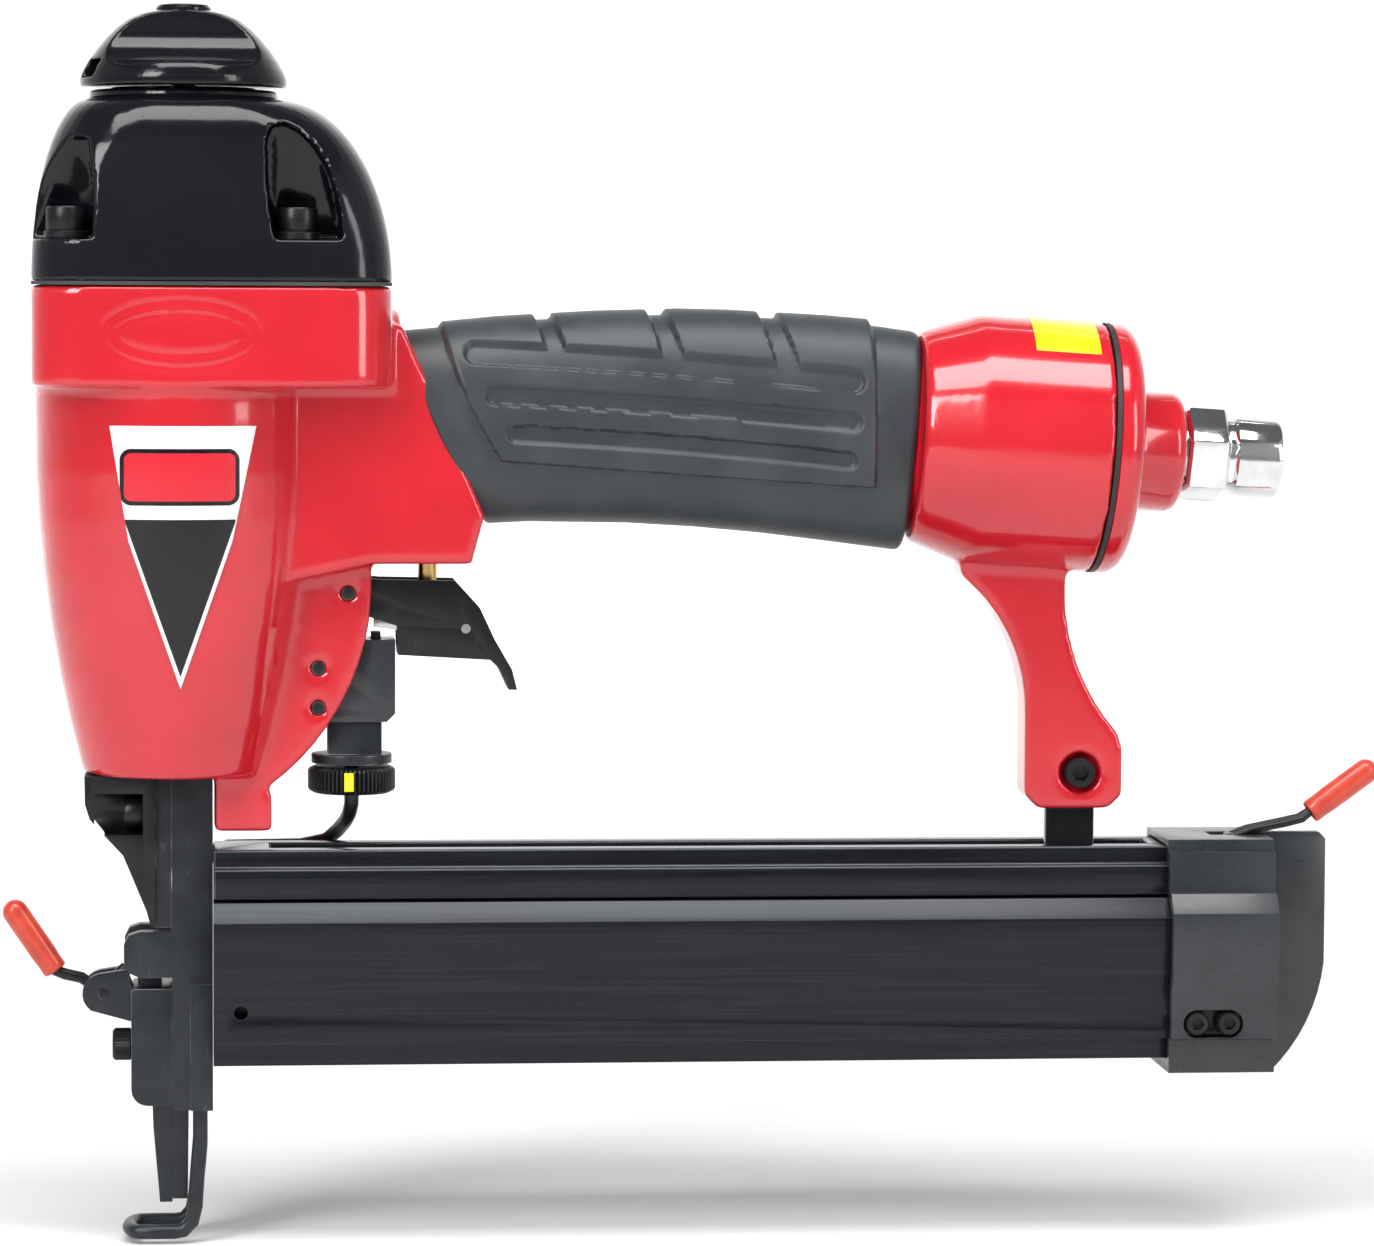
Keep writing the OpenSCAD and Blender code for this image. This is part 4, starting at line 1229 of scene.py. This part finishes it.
@dataclass
class Deflector:
    """Turning exhaust deflector with a thumb scoop, its slot and plug."""

    x: float = 1.9
    base: float = 244.6
    rim: float = 21.8
    top: float = 262.6

    def build(self) -> None:
        """Build and dress the deflector."""
        r, z = self.rim, self.base
        dome = [(0, z), (r - 0.4, z), (r, z + 0.4), (r, z + 2.0), (21.1, z + 3.7), (19.9, z + 5.8),
                (18.3, z + 8.1), (16.2, z + 10.6), (14.2, z + 12.6), (11.9, z + 14.4), (9.4, z + 15.6),
                (6.6, z + 16.3), (0, z + 16.5)]
        hat = Bench.turned("deflector_hat", dome, upright(self.x), 96)
        scoop = Bench.turned("scoop", [(0, -30), (10.4, -30), (10.4, 30), (0, 30)],
                             along_x(self.x, -17.3, 259.4), 96)
        slot = Bench.block("slot", (10, -3.6, z + 2), (30, 3.6, z + 5.8))
        slot.data.transform(upright(self.x) @ Matrix.Rotation(math.radians(200), 4, "Z"))
        under = Bench.turned("under", [(0, z - 1), (14.8, z - 1), (14.8, z + 4.7), (0, z + 4.7)],
                             upright(self.x))
        bore = Bench.turned("bore", [(0, z - 2), (2.6, z - 2), (2.6, z + 7.2), (4.9, z + 7.2),
                                     (4.9, z + 25), (0, z + 25)], upright(self.x))
        Bench.combine(hat, "DIFFERENCE", scoop, slot, under, bore)
        Bench.cast(hat, 0.4, 2)
        dress(Bench.shade(Bench.thin(hat, 0.6), 50), Body.DEFLECTOR, "black_enamel", "exhaust_deflector")
        t = self.top
        plug = [(0, t - 5.2), (4.7, t - 5.2), (4.8, t - 1.9), (5.8, t - 1.9), (5.8, t - 1.1),
                (5.3, t - 0.5), (3.6, t - 0.1), (0, t)]
        cover = Bench.turned("deflector_button", plug, upright(self.x), 48)
        dress(Bench.shade(cover), Body.DEFLECTOR, "black_enamel", "deflector_plug")


@dataclass
class Grip:
    """Rubber sleeve with four finger pads over the top and three long slots on each side.

    Its raised panel is measured along the tool and down from a corner point. A slot is a row of
    its first and last place along, its depth down at each, and its half width. A gap between two
    pads is a row of its middle, its half width and how far down it reaches.
    """

    half: float = 17.5
    columns: int = 210
    around: int = 336
    lift: float = 1.35
    wall: float = 0.915
    corner: Point2 = (46.0, 201.3)
    slots: tuple[tuple[float, ...], ...] = (
        (17.107, 97.434, 12.954, 19.008, 2.182),
        (20.979, 97.152, 21.542, 27.245, 1.83),
        (25.485, 96.166, 29.357, 35.2, 1.76),
    )
    slot_bow: float = 0.634
    panel_front: Point3 = (9.856, 0.185, 0.00824)
    panel_from: float = 5.28
    panel_rear: float = 102.08
    panel_low: Point3 = (34.989, 22.528, 0.0735)
    gaps: tuple[Point3, ...] = ((31.61, 1.76, 14.432), (55.968, 1.901, 15.84), (79.834, 1.971, 17.6))
    gap_from: float = 4.224
    gap_lean: float = 0.32
    gap_widen: float = 0.05
    bow: Point2 = (1.6, 3.0)
    tall: float = 23.0
    end_drop: float = 0.9
    end_rise: float = 90.0
    swell: float = 0.12
    side_power: float = 0.80
    end_power: float = 0.86
    core_r: float = 14.04
    top: tuple[Point2, ...] = ((47.2, 195.0), (52, 195.4), (56.5, 195.8), (67.8, 196.9), (76.3, 197.4),
                               (89.1, 198.1), (107, 198.6), (117.7, 198.4), (139.2, 197.3),
                               (150, 196.4), (158.8, 195.2))
    bottom: tuple[Point2, ...] = ((65.6, 152.6), (74.9, 153.1), (96.2, 152.9), (110.5, 152.1),
                                  (124.8, 150.8), (139.2, 149.0), (155.0, 146.9))

    def soft(self, inside: float) -> float:
        """Soft wall of a panel, from 0 to 1 by the distance inside its edge."""
        s = min(1.0, max(0.0, inside / self.wall + 0.5))
        return s * s * (3 - 2 * s)

    def height(self, x: float, z: float) -> float:
        """Share of the raised level at a point of the surface.

        Args:
            x: Place along the tool.
            z: Height.

        Returns:
            0 on the sleeve's base level, 1 on the raised panel.
        """
        spread, slope = 1.00715, 0.005
        along = x - self.corner[0]
        down = spread * (self.corner[1] - z) + slope * along
        drop = max(0.0, down - self.panel_from)
        start, lean, curve = self.panel_front
        front = start + lean * drop + curve * drop ** 2
        level, level_at, fall = self.panel_low
        low = level + fall * (along - level_at)
        panel = self.soft(min(along - front, self.panel_rear - along, low - down))
        cut = 0.0
        for first, last, down0, down1, wide in self.slots:
            at = min(max(along, first), last)
            share = (at - first) / (last - first)
            line = down0 + (down1 - down0) * share - self.slot_bow * math.sin(math.pi * share)
            cut = max(cut, self.soft(wide - math.hypot(along - at, down - line)))
        fan = max(0.0, down - self.gap_from)
        for middle, wide, reach in self.gaps:
            if down < reach:
                aside = abs(along - middle - self.gap_lean * fan)
                cut = max(cut, self.soft(wide + self.gap_widen * fan - aside))
        return panel * (1 - cut)

    def rings(self) -> list[list[Point3]]:
        """Sections of the sleeve from front to rear.

        Returns:
            One closed row of points for each section.
        """
        rings = []
        (top0, _), (top1, _) = self.top[0], self.top[-1]
        low0, low1 = self.bottom[0][0], self.bottom[-1][0]
        for i in range(self.columns + 1):
            t = i / self.columns
            xt, xb = top0 + (top1 - top0) * t, low0 + (low1 - low0) * t
            zt, zb = follow(self.top, xt) - self.lift, follow(self.bottom, xb)
            swell = self.swell * math.sin(math.pi * t)
            ring = []
            for k in range(self.around):
                a = math.tau * k / self.around
                c, s = math.cos(a), math.sin(a)
                across = math.copysign(abs(c) ** self.side_power, c) * (self.half - self.lift - 0.4)
                up = math.copysign(abs(s) ** self.end_power, s)
                bow = (1 - up * up) * (self.bow[0] - self.bow[1] * t) * (1 - t)
                x = (xt + xb) / 2 + (xt - xb) / 2 * up - bow
                z = (zt + zb) / 2 + (zt - zb) / 2 * up
                raise_by = self.lift * self.height(x, z)
                nose = min(1.0, min(t, 1 - t) * self.end_rise) ** 0.5
                grow = raise_by - self.end_drop * (1 - nose) + swell
                scale_y, scale_z = 1 + grow / self.half, 1 + grow / self.tall
                ring.append((x, across * scale_y, (zt + zb) / 2 + (z - (zt + zb) / 2) * scale_z))
            rings.append(ring)
        return rings

    def room(self) -> bpy.types.Object:
        """The space round the handle's core that the sleeve takes out of the casting.

        Returns:
            A cutter for it.
        """
        low = [(x + 0.3, z + 0.4) for x, z in self.bottom[:-1]]
        outline = [(47.7, 195), (47.7, 206), (158.6, 206), (158.6, 195), (154.9, 147.3), *reversed(low)]
        return Bench.combine(Bench.slab("grip_room", outline, -40, 40), "DIFFERENCE", self.core())

    def core(self) -> bpy.types.Object:
        """Cutter in the shape of the handle's core, two half rounds set apart in height.

        Returns:
            The cutter.
        """
        core, points, top, under = [], 64, 1.2, -5.5
        for k in range(points):
            a = math.tau * k / points
            shift = top if math.sin(a) > 0 else under
            core.append((self.core_r * math.cos(a), self.core_r * math.sin(a) + shift))
        hole = Bench.loft("core", [[(x, y, z) for y, z in core] for x in (-30, 140)])
        hole.data.transform(handle_axis())
        return hole

    def build(self) -> None:
        """Build and dress the sleeve."""
        sleeve = Bench.loft("grip_cover", self.rings())
        Bench.combine(sleeve, "DIFFERENCE", self.core())
        dress(Bench.shade(sleeve, 50), Body.TOOL, "grip_rubber", "grip_sleeve")


@dataclass
class RearEnd:
    """Cap over the end of the bulb, and the chrome air adaptor screwed into it."""

    reach: float = 150.0
    bulb_r: float = 27.0
    boss_r: float = 12.9
    hex_half: float = 9.0
    face: float = 19.1

    @property
    def frame(self) -> Matrix:
        """Frame at the end of the bulb, local Z running out along the handle's axis."""
        return handle_axis() @ along_x(self.reach)

    def cap(self) -> None:
        """Build the end cap."""
        r, b = self.bulb_r, self.boss_r
        loop = [(7.25, -5), (22.9, -5), (22.9, 1.02), (r - 0.35, 1.02), (r, 1.3), (r, 3.2),
                (r - 0.5, 4.7), (r - 1.7, 6.0), (r - 3.6, 6.8), (r - 6.4, 7.2), (b + 2.4, 7.4),
                (b + 0.8, 7.9), (b, 9.2),
                (b, 15.6), (b - 0.5, 17.2), (b - 1.9, 18.2), (b - 3.4, 18.5), (7.25, 18.5)]
        cap = Bench.turned("bulb_end_cap", loop, self.frame, 96)
        dress(Bench.shade(cap, 40), Body.TOOL, "red_enamel", "handle_end_cap")

    def adaptor(self) -> None:
        """Build the female air adaptor: its hexagon and its threaded barrel."""
        f = self.face
        c = self.hex_half / math.cos(math.pi / 6)
        turn = self.frame @ Matrix.Rotation(math.radians(12), 4, "Z")
        loop = [(7.3, f), (c - 1.0, f), (c, f + 0.9), (c, f + 8.3), (c - 1.0, f + 9.2), (7.3, f + 9.2)]
        nut = Bench.ease(Bench.turned("adaptor_hexagon", loop, turn, 6), 0.25)
        dress(Bench.shade(nut, 30), Body.TOOL, "chrome_plate")
        minor, root, pitch, threads = 5.725, 6.3, 1.35, 9
        stem = [(4, f - 12), (6.8, f - 12), (7.2, f - 11.6), (7.2, f + 8.6), (7.9, f + 9.2),
                (7.9, f + 10.4), (8.6, f + 11.2), (8.6, f + 19.6), (8.2, f + 20.6), (7.4, f + 21),
                (6.7, f + 21)]
        for i in range(threads):
            z = f + 19.6 - i * pitch
            stem += [(minor, z), (root, z - 0.5), (minor, z - 1.0)]
        stem += [(minor, f + 7), (4, f + 7)]
        barrel = Bench.turned("air_adaptor", stem, self.frame, 72)
        dress(Bench.shade(barrel, 30), Body.TOOL, "chrome_plate", "inlet_adaptor")

    def build(self) -> None:
        """Build and dress both pieces."""
        self.cap()
        self.adaptor()


@dataclass
class TriggerGroup:
    """Trigger, its lever, the valve stem under the neck and their pins."""

    valve_x: float = 53.65
    stem_r: float = 2.0

    def build(self) -> None:
        """Build and dress the pieces."""
        eased("trigger_plate", "trigger", 0.35, Body.TRIGGER, "black_oxide", 3)
        eased("trip_arm", "trip_lever", 0.2, Body.TRIP, "ground_steel")
        eased("pivot_pin", "trigger_pin", 0.3, Body.TOOL, "black_oxide")
        eased("web_pins", "guide_pins", 0.3, Body.TOOL, "black_oxide")
        r = self.stem_r
        stem = [(0, 135.6), (r - 0.6, 135.6), (r - 0.1, 136.1), (r, 136.8), (r, 149.5), (3.6, 149.5),
                (3.85, 149.8), (3.85, 152.2), (3.6, 152.5), (r, 152.5), (r, 154.5), (0, 154.5)]
        pin = Bench.turned("valve_pin", stem, upright(self.valve_x), 40)
        dress(Bench.shade(pin), Body.VALVE_STEM, "brass_part", "trigger_valve_stem")
        eased("valve_housing", "trigger_valve_body", 0.4, Body.TOOL, "moulded_grey")


@dataclass
class SafetyGroup:
    """Contact safety: guide, stem, knurled depth wheel and the bent wire foot."""

    x: float = 37.5
    wheel_r: float = 9.4
    wheel_z: float = 95.0
    wheel_h: float = 5.8
    teeth: int = 60
    wire_r: float = 1.6

    def wheel(self) -> None:
        """Build the depth wheel and its painted mark."""
        r, z, h = self.wheel_r, self.wheel_z, self.wheel_h
        profile = [(1.7, z), (r - 1.4, z), (r - 0.4, z + 0.5), (r - 0.05, z + 1.0),
                   (r - 0.05, z + h - 1.0), (r - 0.4, z + h - 0.5), (r - 1.4, z + h), (3.6, z + h),
                   (3.2, z + h - 0.5),
                   (1.7, z + h - 0.5)]
        sides = self.teeth * 3
        wheel = Bench.turned("adjusting_wheel", profile, Matrix(), sides)
        Bench.knurl(wheel, sides, r - 0.6, (3, 0), 0.935)
        wheel.data.transform(upright(self.x))
        dress(Bench.shade(wheel, 25), Body.ADJUSTER, "black_oxide", "depth_wheel")
        mark = [(r - 0.1, z + 0.9), (r + 0.12, z + 1.0), (r + 0.12, z + h - 1.0), (r - 0.1, z + h - 0.9)]
        paint = Bench.turned("wheel_mark", mark, Matrix(), 180)
        Bench.edit(paint)
        middle, half = -0.8, 1.0
        for way in (1, -1):
            bpy.ops.mesh.select_all(action="SELECT")
            bpy.ops.mesh.bisect(
                plane_co=((middle + way * half) * MM, 0, 0), plane_no=(way, 0, 0),
                use_fill=True, clear_outer=True,
            )
        bpy.ops.mesh.select_all(action="SELECT")
        bpy.ops.mesh.bisect(plane_co=(0, 0, 0), plane_no=(0, 1, 0), clear_outer=True)
        Bench.done(paint)
        paint.data.transform(upright(self.x))
        dress(Bench.shade(paint), Body.ADJUSTER, "yellow_label")

    def foot_path(self) -> list[Point3]:
        """Points along the wire of the contact foot.

        Returns:
            The points, from the free end to the stem.
        """
        r, h, leg = self.wire_r, 6.9, 5.2
        far = 9.0 + r + 0.3
        near = [(leg, -h, 34), (leg, -h, 22), (leg - 0.5, -h, 16), (leg - 1.1, -h, 7),
                (leg - 1.8, -h, 3.8), (leg - 3.6, -h, r + 0.3), (leg - 5.6, -h, r), (-4, -h, r)]
        loop = []
        for i in range(17):
            a = math.radians(255 - 150 * i / 16)
            x = -10.8 + h + h * math.cos(a)
            loop.append((-10.8 + r + (x + 10.8 - r) * 0.42, h * math.sin(a), r))
        back = [(x, h, z) for x, _, z in reversed(near[3:])]
        rise = [(leg - 0.8, h + 0.5, 10), (leg - 0.3, far - 1.8, 14), (leg, far - 0.3, 17.5),
                (leg, far, 20), (leg, far, 73), (leg + 0.4, far + 1.6, 77), (leg + 2.2, 14.3, 80.4),
                (leg + 6, 14.4, 81.8),
                (27, 14.4, 82), (32.5, 14.2, 83.2), (35, 12.4, 85.6), (36.4, 7.5, 88), (37.1, 2.4, 90.2),
                (self.x, 0.2, 92.6), (self.x, 0, 94.5), (self.x, 0, 112)]
        return near + loop + back + rise

    def build(self) -> None:
        """Build and dress the pieces."""
        eased("safety_block", "safety_guide", 0.5, Body.TOOL, "moulded_grey")
        eased("safety_slider", "safety_stem", 0.3, Body.SAFETY, "phosphate_steel")
        self.wheel()
        foot = Bench.wire("wire_foot", self.foot_path(), self.wire_r - 0.02)
        dress(Bench.shade(foot, 50), Body.FOOT, "phosphate_steel", "contact_foot")


@dataclass
class NoseGroup:
    """Nose plates, bracket, lugs, release door and its sprung latch."""

    screw_y: float = 6.0
    screw_z: float = 91.4
    knob_r: float = 3.45
    knob_z: float = 41.05

    def knob(self) -> None:
        """Build the knurled thumb screw of the door."""
        r = self.knob_r
        sides = 72
        profile = [(0, -3.8), (1.9, -3.8), (1.9, 0), (r - 0.3, 0), (r, 0.3), (r, 3.4), (r - 0.5, 4),
                   (1.2, 4), (0.9, 3.7), (0, 3.7)]
        knob = Bench.turned("door_knob", profile, Matrix(), sides)
        Bench.knurl(knob, sides, r - 0.1, (2, 1), 0.95)
        knob.data.transform(upright(-9.45, 0, self.knob_z) @ Matrix.Rotation(-math.pi / 2, 4, "Y"))
        dress(Bench.shade(knob, 30), Body.DOOR, "black_oxide", "door_screw")

    def latch(self) -> None:
        """Build the latch wire and its vinyl sleeve."""
        eye = [(1.15, -2.1), (2.7, -2.1), (3.0, -1.8), (3.0, 1.8), (2.7, 2.1), (1.15, 2.1)]
        hub = Bench.turned("latch_wire", eye, to_left(-15.4, 0, 52.4), 40)
        handle = [(-16.9, 0, 53.2), (-20, 0, 55.4), (-23.5, 0, 56.2), (-25.5, 0, 57), (-28.5, 0, 61.4)]
        hook = [(-13.9, 0, 53.6), (-12, 0, 56.4), (-10.6, 0, 57.6)]
        wires = [Bench.wire("latch_rod", path, 1.25) for path in (handle, hook)]
        Bench.combine(hub, "UNION", *wires)
        dress(Bench.shade(hub, 45), Body.DOOR_LATCH, "black_oxide", "latch_lever")
        place = upright(-25.5, 0, 57) @ Matrix.Rotation(math.atan2(-8.8, 13), 4, "Y")
        sleeve = vinyl("latch_grip", 17.85, 2.75, 1.35, place)
        dress(sleeve, Body.DOOR_LATCH, "red_vinyl", "latch_sleeve")

    def build(self) -> None:
        """Build and dress the pieces."""
        eased("nose_body", "nose_block", 0.45, Body.TOOL, "phosphate_steel", 3)
        eased("nose_plate", "nose_front_plate", 0.4, Body.TOOL, "phosphate_steel")
        eased("nose_shoe", "nose_bracket", 0.7, Body.TOOL, "black_oxide", 3)
        eased("nose_door", "release_door", 0.4, Body.DOOR, "phosphate_steel", 3)
        eased("hinge_pin", "door_hinge_pin", 0.2, Body.TOOL, "ground_steel")
        eased("clevis_pin", "latch_pin", 0.2, Body.DOOR, "black_oxide")
        turn = Matrix.Rotation(-math.pi / 2, 4, "Y")
        places = [upright(-6.8, s * self.screw_y, self.screw_z) @ turn for s in (-1, 1)]
        screws = Bench.repeat(CapScrew(4.0, 12.5).model("nose_screw_set"), places)
        dress(screws, Body.TOOL, "black_oxide", "nose_screws")
        self.knob()
        self.latch()


def vinyl(name: str, length: float, radius: float, bore: float, place: Matrix) -> bpy.types.Object:
    """A dipped vinyl sleeve with a round end and a slightly swollen mouth.

    Args:
        name: The object's name.
        length: Its length.
        radius: Its radius.
        bore: Radius of the wire inside it.
        place: Where its mouth goes.

    Returns:
        The sleeve.
    """
    waist = radius - 0.02
    profile = [(0, length - 4), (bore, length - 4), (bore, 0.1), (bore + 0.4, 0), (radius - 0.4, 0),
               (radius - 0.1, 0.4), (radius - 0.15, 2.2), (waist, 5), (waist, length - radius)]
    steps = 7
    for i in range(1, steps + 1):
        a = math.pi / 2 * i / steps
        profile.append((max(0.0, waist * math.cos(a)), length - radius + radius * math.sin(a)))
    profile[-1] = (0, length)
    return Bench.shade(Bench.turned(name, profile, place, 40), 60)


@dataclass
class Magazine:
    """Rail, sliding cover, end cap with its plate and latch, and the strap to the arm."""

    end_x: float = 235.5
    latch: Point2 = (228.5, 83.4)
    cap_screw_x: Point2 = (218.2, 225.1)
    cap_screw_z: float = 46.0
    cover_side: float = 15.65

    def latch_pieces(self) -> None:
        """Build the rear latch's wires and sleeve."""
        x1 = self.end_x + 8.4
        x0, z0 = self.latch
        eye = [(1.05, -3), (1.7, -3), (1.9, -2.8), (1.9, 2.8), (1.7, 3), (1.05, 3)]
        hub = Bench.turned("cover_latch_wire", eye, to_left(x0, 0, z0), 32)
        for s in (-1, 1):
            path = [(x0, -2.4 * s, z0 + 1), (x0 + 4, -2.4 * s, z0 + 2.6), (x1 - 3.5, -2.6 * s, 87.6),
                    (x1, -2.2 * s, 88.4), (x1 + 2.6, -1.1 * s, 90.2), (x1 + 5.5, -0.95 * s, 92.4)]
            Bench.combine(hub, "UNION", Bench.wire("leg", path, 0.8))
        dress(Bench.shade(hub, 45), Body.COVER_LATCH, "black_oxide", "magazine_latch")
        place = upright(x1 + 2.2, 0, 89.7) @ Matrix.Rotation(math.radians(54), 4, "Y")
        sleeve = vinyl("cover_latch_grip", 17.75, 2.75, 2.2, place)
        dress(sleeve, Body.COVER_LATCH, "red_vinyl", "magazine_latch_sleeve")

    def build(self) -> None:
        """Build and dress the pieces."""
        eased("rail", "magazine_rail", 0.45, Body.TOOL, "anodised_black", 3)
        eased("cover", "magazine_cover", 0.5, Body.MAGAZINE, "anodised_black", 3)
        eased("end_moulding", "magazine_end_cap", 1.1, Body.MAGAZINE, "moulded_grey", 3)
        eased("end_fin", "end_plate", 0.4, Body.MAGAZINE, "moulded_grey")
        eased("strap", "magazine_strap", 0.3, Body.TOOL, "black_enamel")
        turn = {-1: to_left, 1: to_right}
        places = [turn[s](x, s * self.cover_side, self.cap_screw_z)
                  for s in (-1, 1) for x in self.cap_screw_x]
        screws = Bench.repeat(CapScrew(3.0, 4.0, 0.86, 48).model("end_screw_set"), places)
        dress(screws, Body.MAGAZINE, "black_oxide", "end_cap_screws")
        screw = CapScrew(4.0, 9.2).model("arm_screw")
        screw.data.transform(to_left(194.2, -3.5, 99.1))
        dress(screw, Body.TOOL, "black_oxide", "strap_screw")
        self.latch_pieces()


class Labels:
    """Printed shield on the barrel and the plain warning patch on the bulb."""

    def build(self) -> None:
        """Build and dress the labels."""
        eased("shield_badge", "name_badge", 0.12, Body.TOOL, "badge_print")
        eased("bulb_patch", "handle_label", 0.05, Body.TOOL, "yellow_label")


class CadFinish:
    """Finishes for the CAD nodes that stay in view as they are."""

    def build(self) -> None:
        """Put each node's material on it."""
        for part in frame["record"]["subparts"]:
            node = frame["nodes"][part["node"]]
            if node.hide_render:
                continue
            finish = Stock.take(part["material_slot"])
            if not node.data.materials:
                node.data.materials.append(finish)
            for slot in node.material_slots:
                slot.material = finish
            LOG.info("%s keeps its CAD shape, %s", part["node"], part["material_slot"])


# ---------------------------------------------------------------- studio


@dataclass
class Studio:
    """Camera, soft lights and a pale bowl-shaped backdrop."""

    target: Point3 = (109.47, 0.0, 131.16)
    distance: float = 1100.0
    azimuth: float = -5.4
    elevation: float = 3.8
    roll: float = 0.30
    lens: float = 134.05
    floor: float = -1.0
    floor_r: float = 2600.0
    curve_r: float = 900.0
    wall_top: float = 3200.0
    room_light: float = 0.14

    def camera(self) -> None:
        """Place the camera."""
        a, e, roll = (math.radians(v) for v in (self.azimuth, self.elevation, self.roll))
        back = Vector((math.sin(a) * math.cos(e), -math.cos(a) * math.cos(e), math.sin(e)))
        right = (-back).cross(Vector((0, 0, 1))).normalized()
        up = right.cross(-back)
        level = right * math.cos(roll) + up * math.sin(roll)
        upward = up * math.cos(roll) - right * math.sin(roll)
        place = (Vector(self.target) + back * self.distance) * MM
        lens = bpy.data.cameras.new("studio_camera")
        lens.sensor_width = 36.0
        lens.sensor_fit = "HORIZONTAL"
        lens.lens = self.lens
        lens.clip_start, lens.clip_end = 0.01, 50
        camera = bpy.data.objects.new("studio_camera", lens)
        camera.matrix_world = Matrix((
            (level.x, upward.x, back.x, place.x),
            (level.y, upward.y, back.y, place.y),
            (level.z, upward.z, back.z, place.z),
            (0, 0, 0, 1),
        ))
        bpy.context.collection.objects.link(camera)
        bpy.context.scene.camera = camera

    def lamp(
        self, name: str, at: Point3, size: Point2, power: float, aim_at: Point3 = (0.109, 0, 0.131),
    ) -> None:
        """Add one soft box.

        Args:
            name: Its name.
            at: Its place in metres.
            size: Its width and height in metres.
            power: Its power in watts.
            aim_at: The place in metres that it faces.
        """
        light = bpy.data.lights.new(name, "AREA")
        light.shape = "RECTANGLE"
        light.size, light.size_y = size
        light.energy = power
        lamp = bpy.data.objects.new(name, light)
        aim = Vector(aim_at) - Vector(at)
        lamp.matrix_world = Matrix.Translation(at) @ aim.to_track_quat("-Z", "Y").to_matrix().to_4x4()
        bpy.context.collection.objects.link(lamp)

    def backdrop(self) -> None:
        """Build the pale floor that curves up all round."""
        z, bend, steps = self.floor, self.curve_r, 12
        profile = [(0, z), (self.floor_r, z)]
        for i in range(1, steps + 1):
            a = math.pi / 2 * i / steps
            profile.append((self.floor_r + bend * math.sin(a), z + bend - bend * math.cos(a)))
        profile.append((self.floor_r + bend, self.wall_top))
        bowl = Bench.ring("backdrop", [(r, 0.0, height) for r, height in profile], False)
        Bench.part_ends(bowl)
        bpy.ops.mesh.spin(steps=96, angle=math.tau, center=(0, 0, 0), axis=(0, 0, 1))
        bpy.ops.mesh.remove_doubles(threshold=1e-4)
        bpy.ops.mesh.select_all(action="SELECT")
        bpy.ops.mesh.normals_make_consistent(inside=True)
        bpy.ops.object.mode_set(mode="OBJECT")
        Bench.shade(bowl, 40)
        shop = Shop("pale_paper")
        cloud = shop.noise(240.0, 3.0)
        tint = shop.mix(cloud, (0.78, 0.78, 0.78), (0.82, 0.82, 0.82))
        bowl.data.materials.append(shop.close(Base_Color=tint, Roughness=0.9))

    def build(self) -> None:
        """Build the studio."""
        self.camera()
        self.backdrop()
        self.lamp("key_box", (-0.85, -1.1, 0.95), (0.5, 0.9), 17)
        self.lamp("fill_box", (1.2, -0.8, 0.55), (0.35, 0.9), 6)
        self.lamp("top_box", (0.12, -0.42, 1.3), (1.2, 0.55), 17)
        self.lamp("wall_box", (0.1, 1.3, 1.9), (2.0, 0.6), 75, (0.1, 3.3, 0.3))
        world = bpy.data.worlds.new("soft_room")
        world.use_nodes = True
        paint = world.node_tree.nodes["Background"]
        paint.inputs["Color"].default_value = (0.95, 0.97, 1.0, 1.0)
        paint.inputs["Strength"].default_value = self.room_light
        bpy.context.scene.world = world
        bpy.context.scene.view_settings.view_transform = "Standard"


def main() -> None:
    """Build the sub-assemblies in order and log each one."""
    logging.basicConfig(level=logging.INFO, format="%(name)s: %(message)s")
    groups = (Casting(), HeadCap(), Deflector(), Grip(), RearEnd(), TriggerGroup(), SafetyGroup(),
              NoseGroup(), Magazine(), Labels(), CadFinish(), Studio())
    for group in groups:
        group.build()
        LOG.info("%s done", type(group).__name__)
    Bench.clear()


if __name__ == "__main__":
    main()
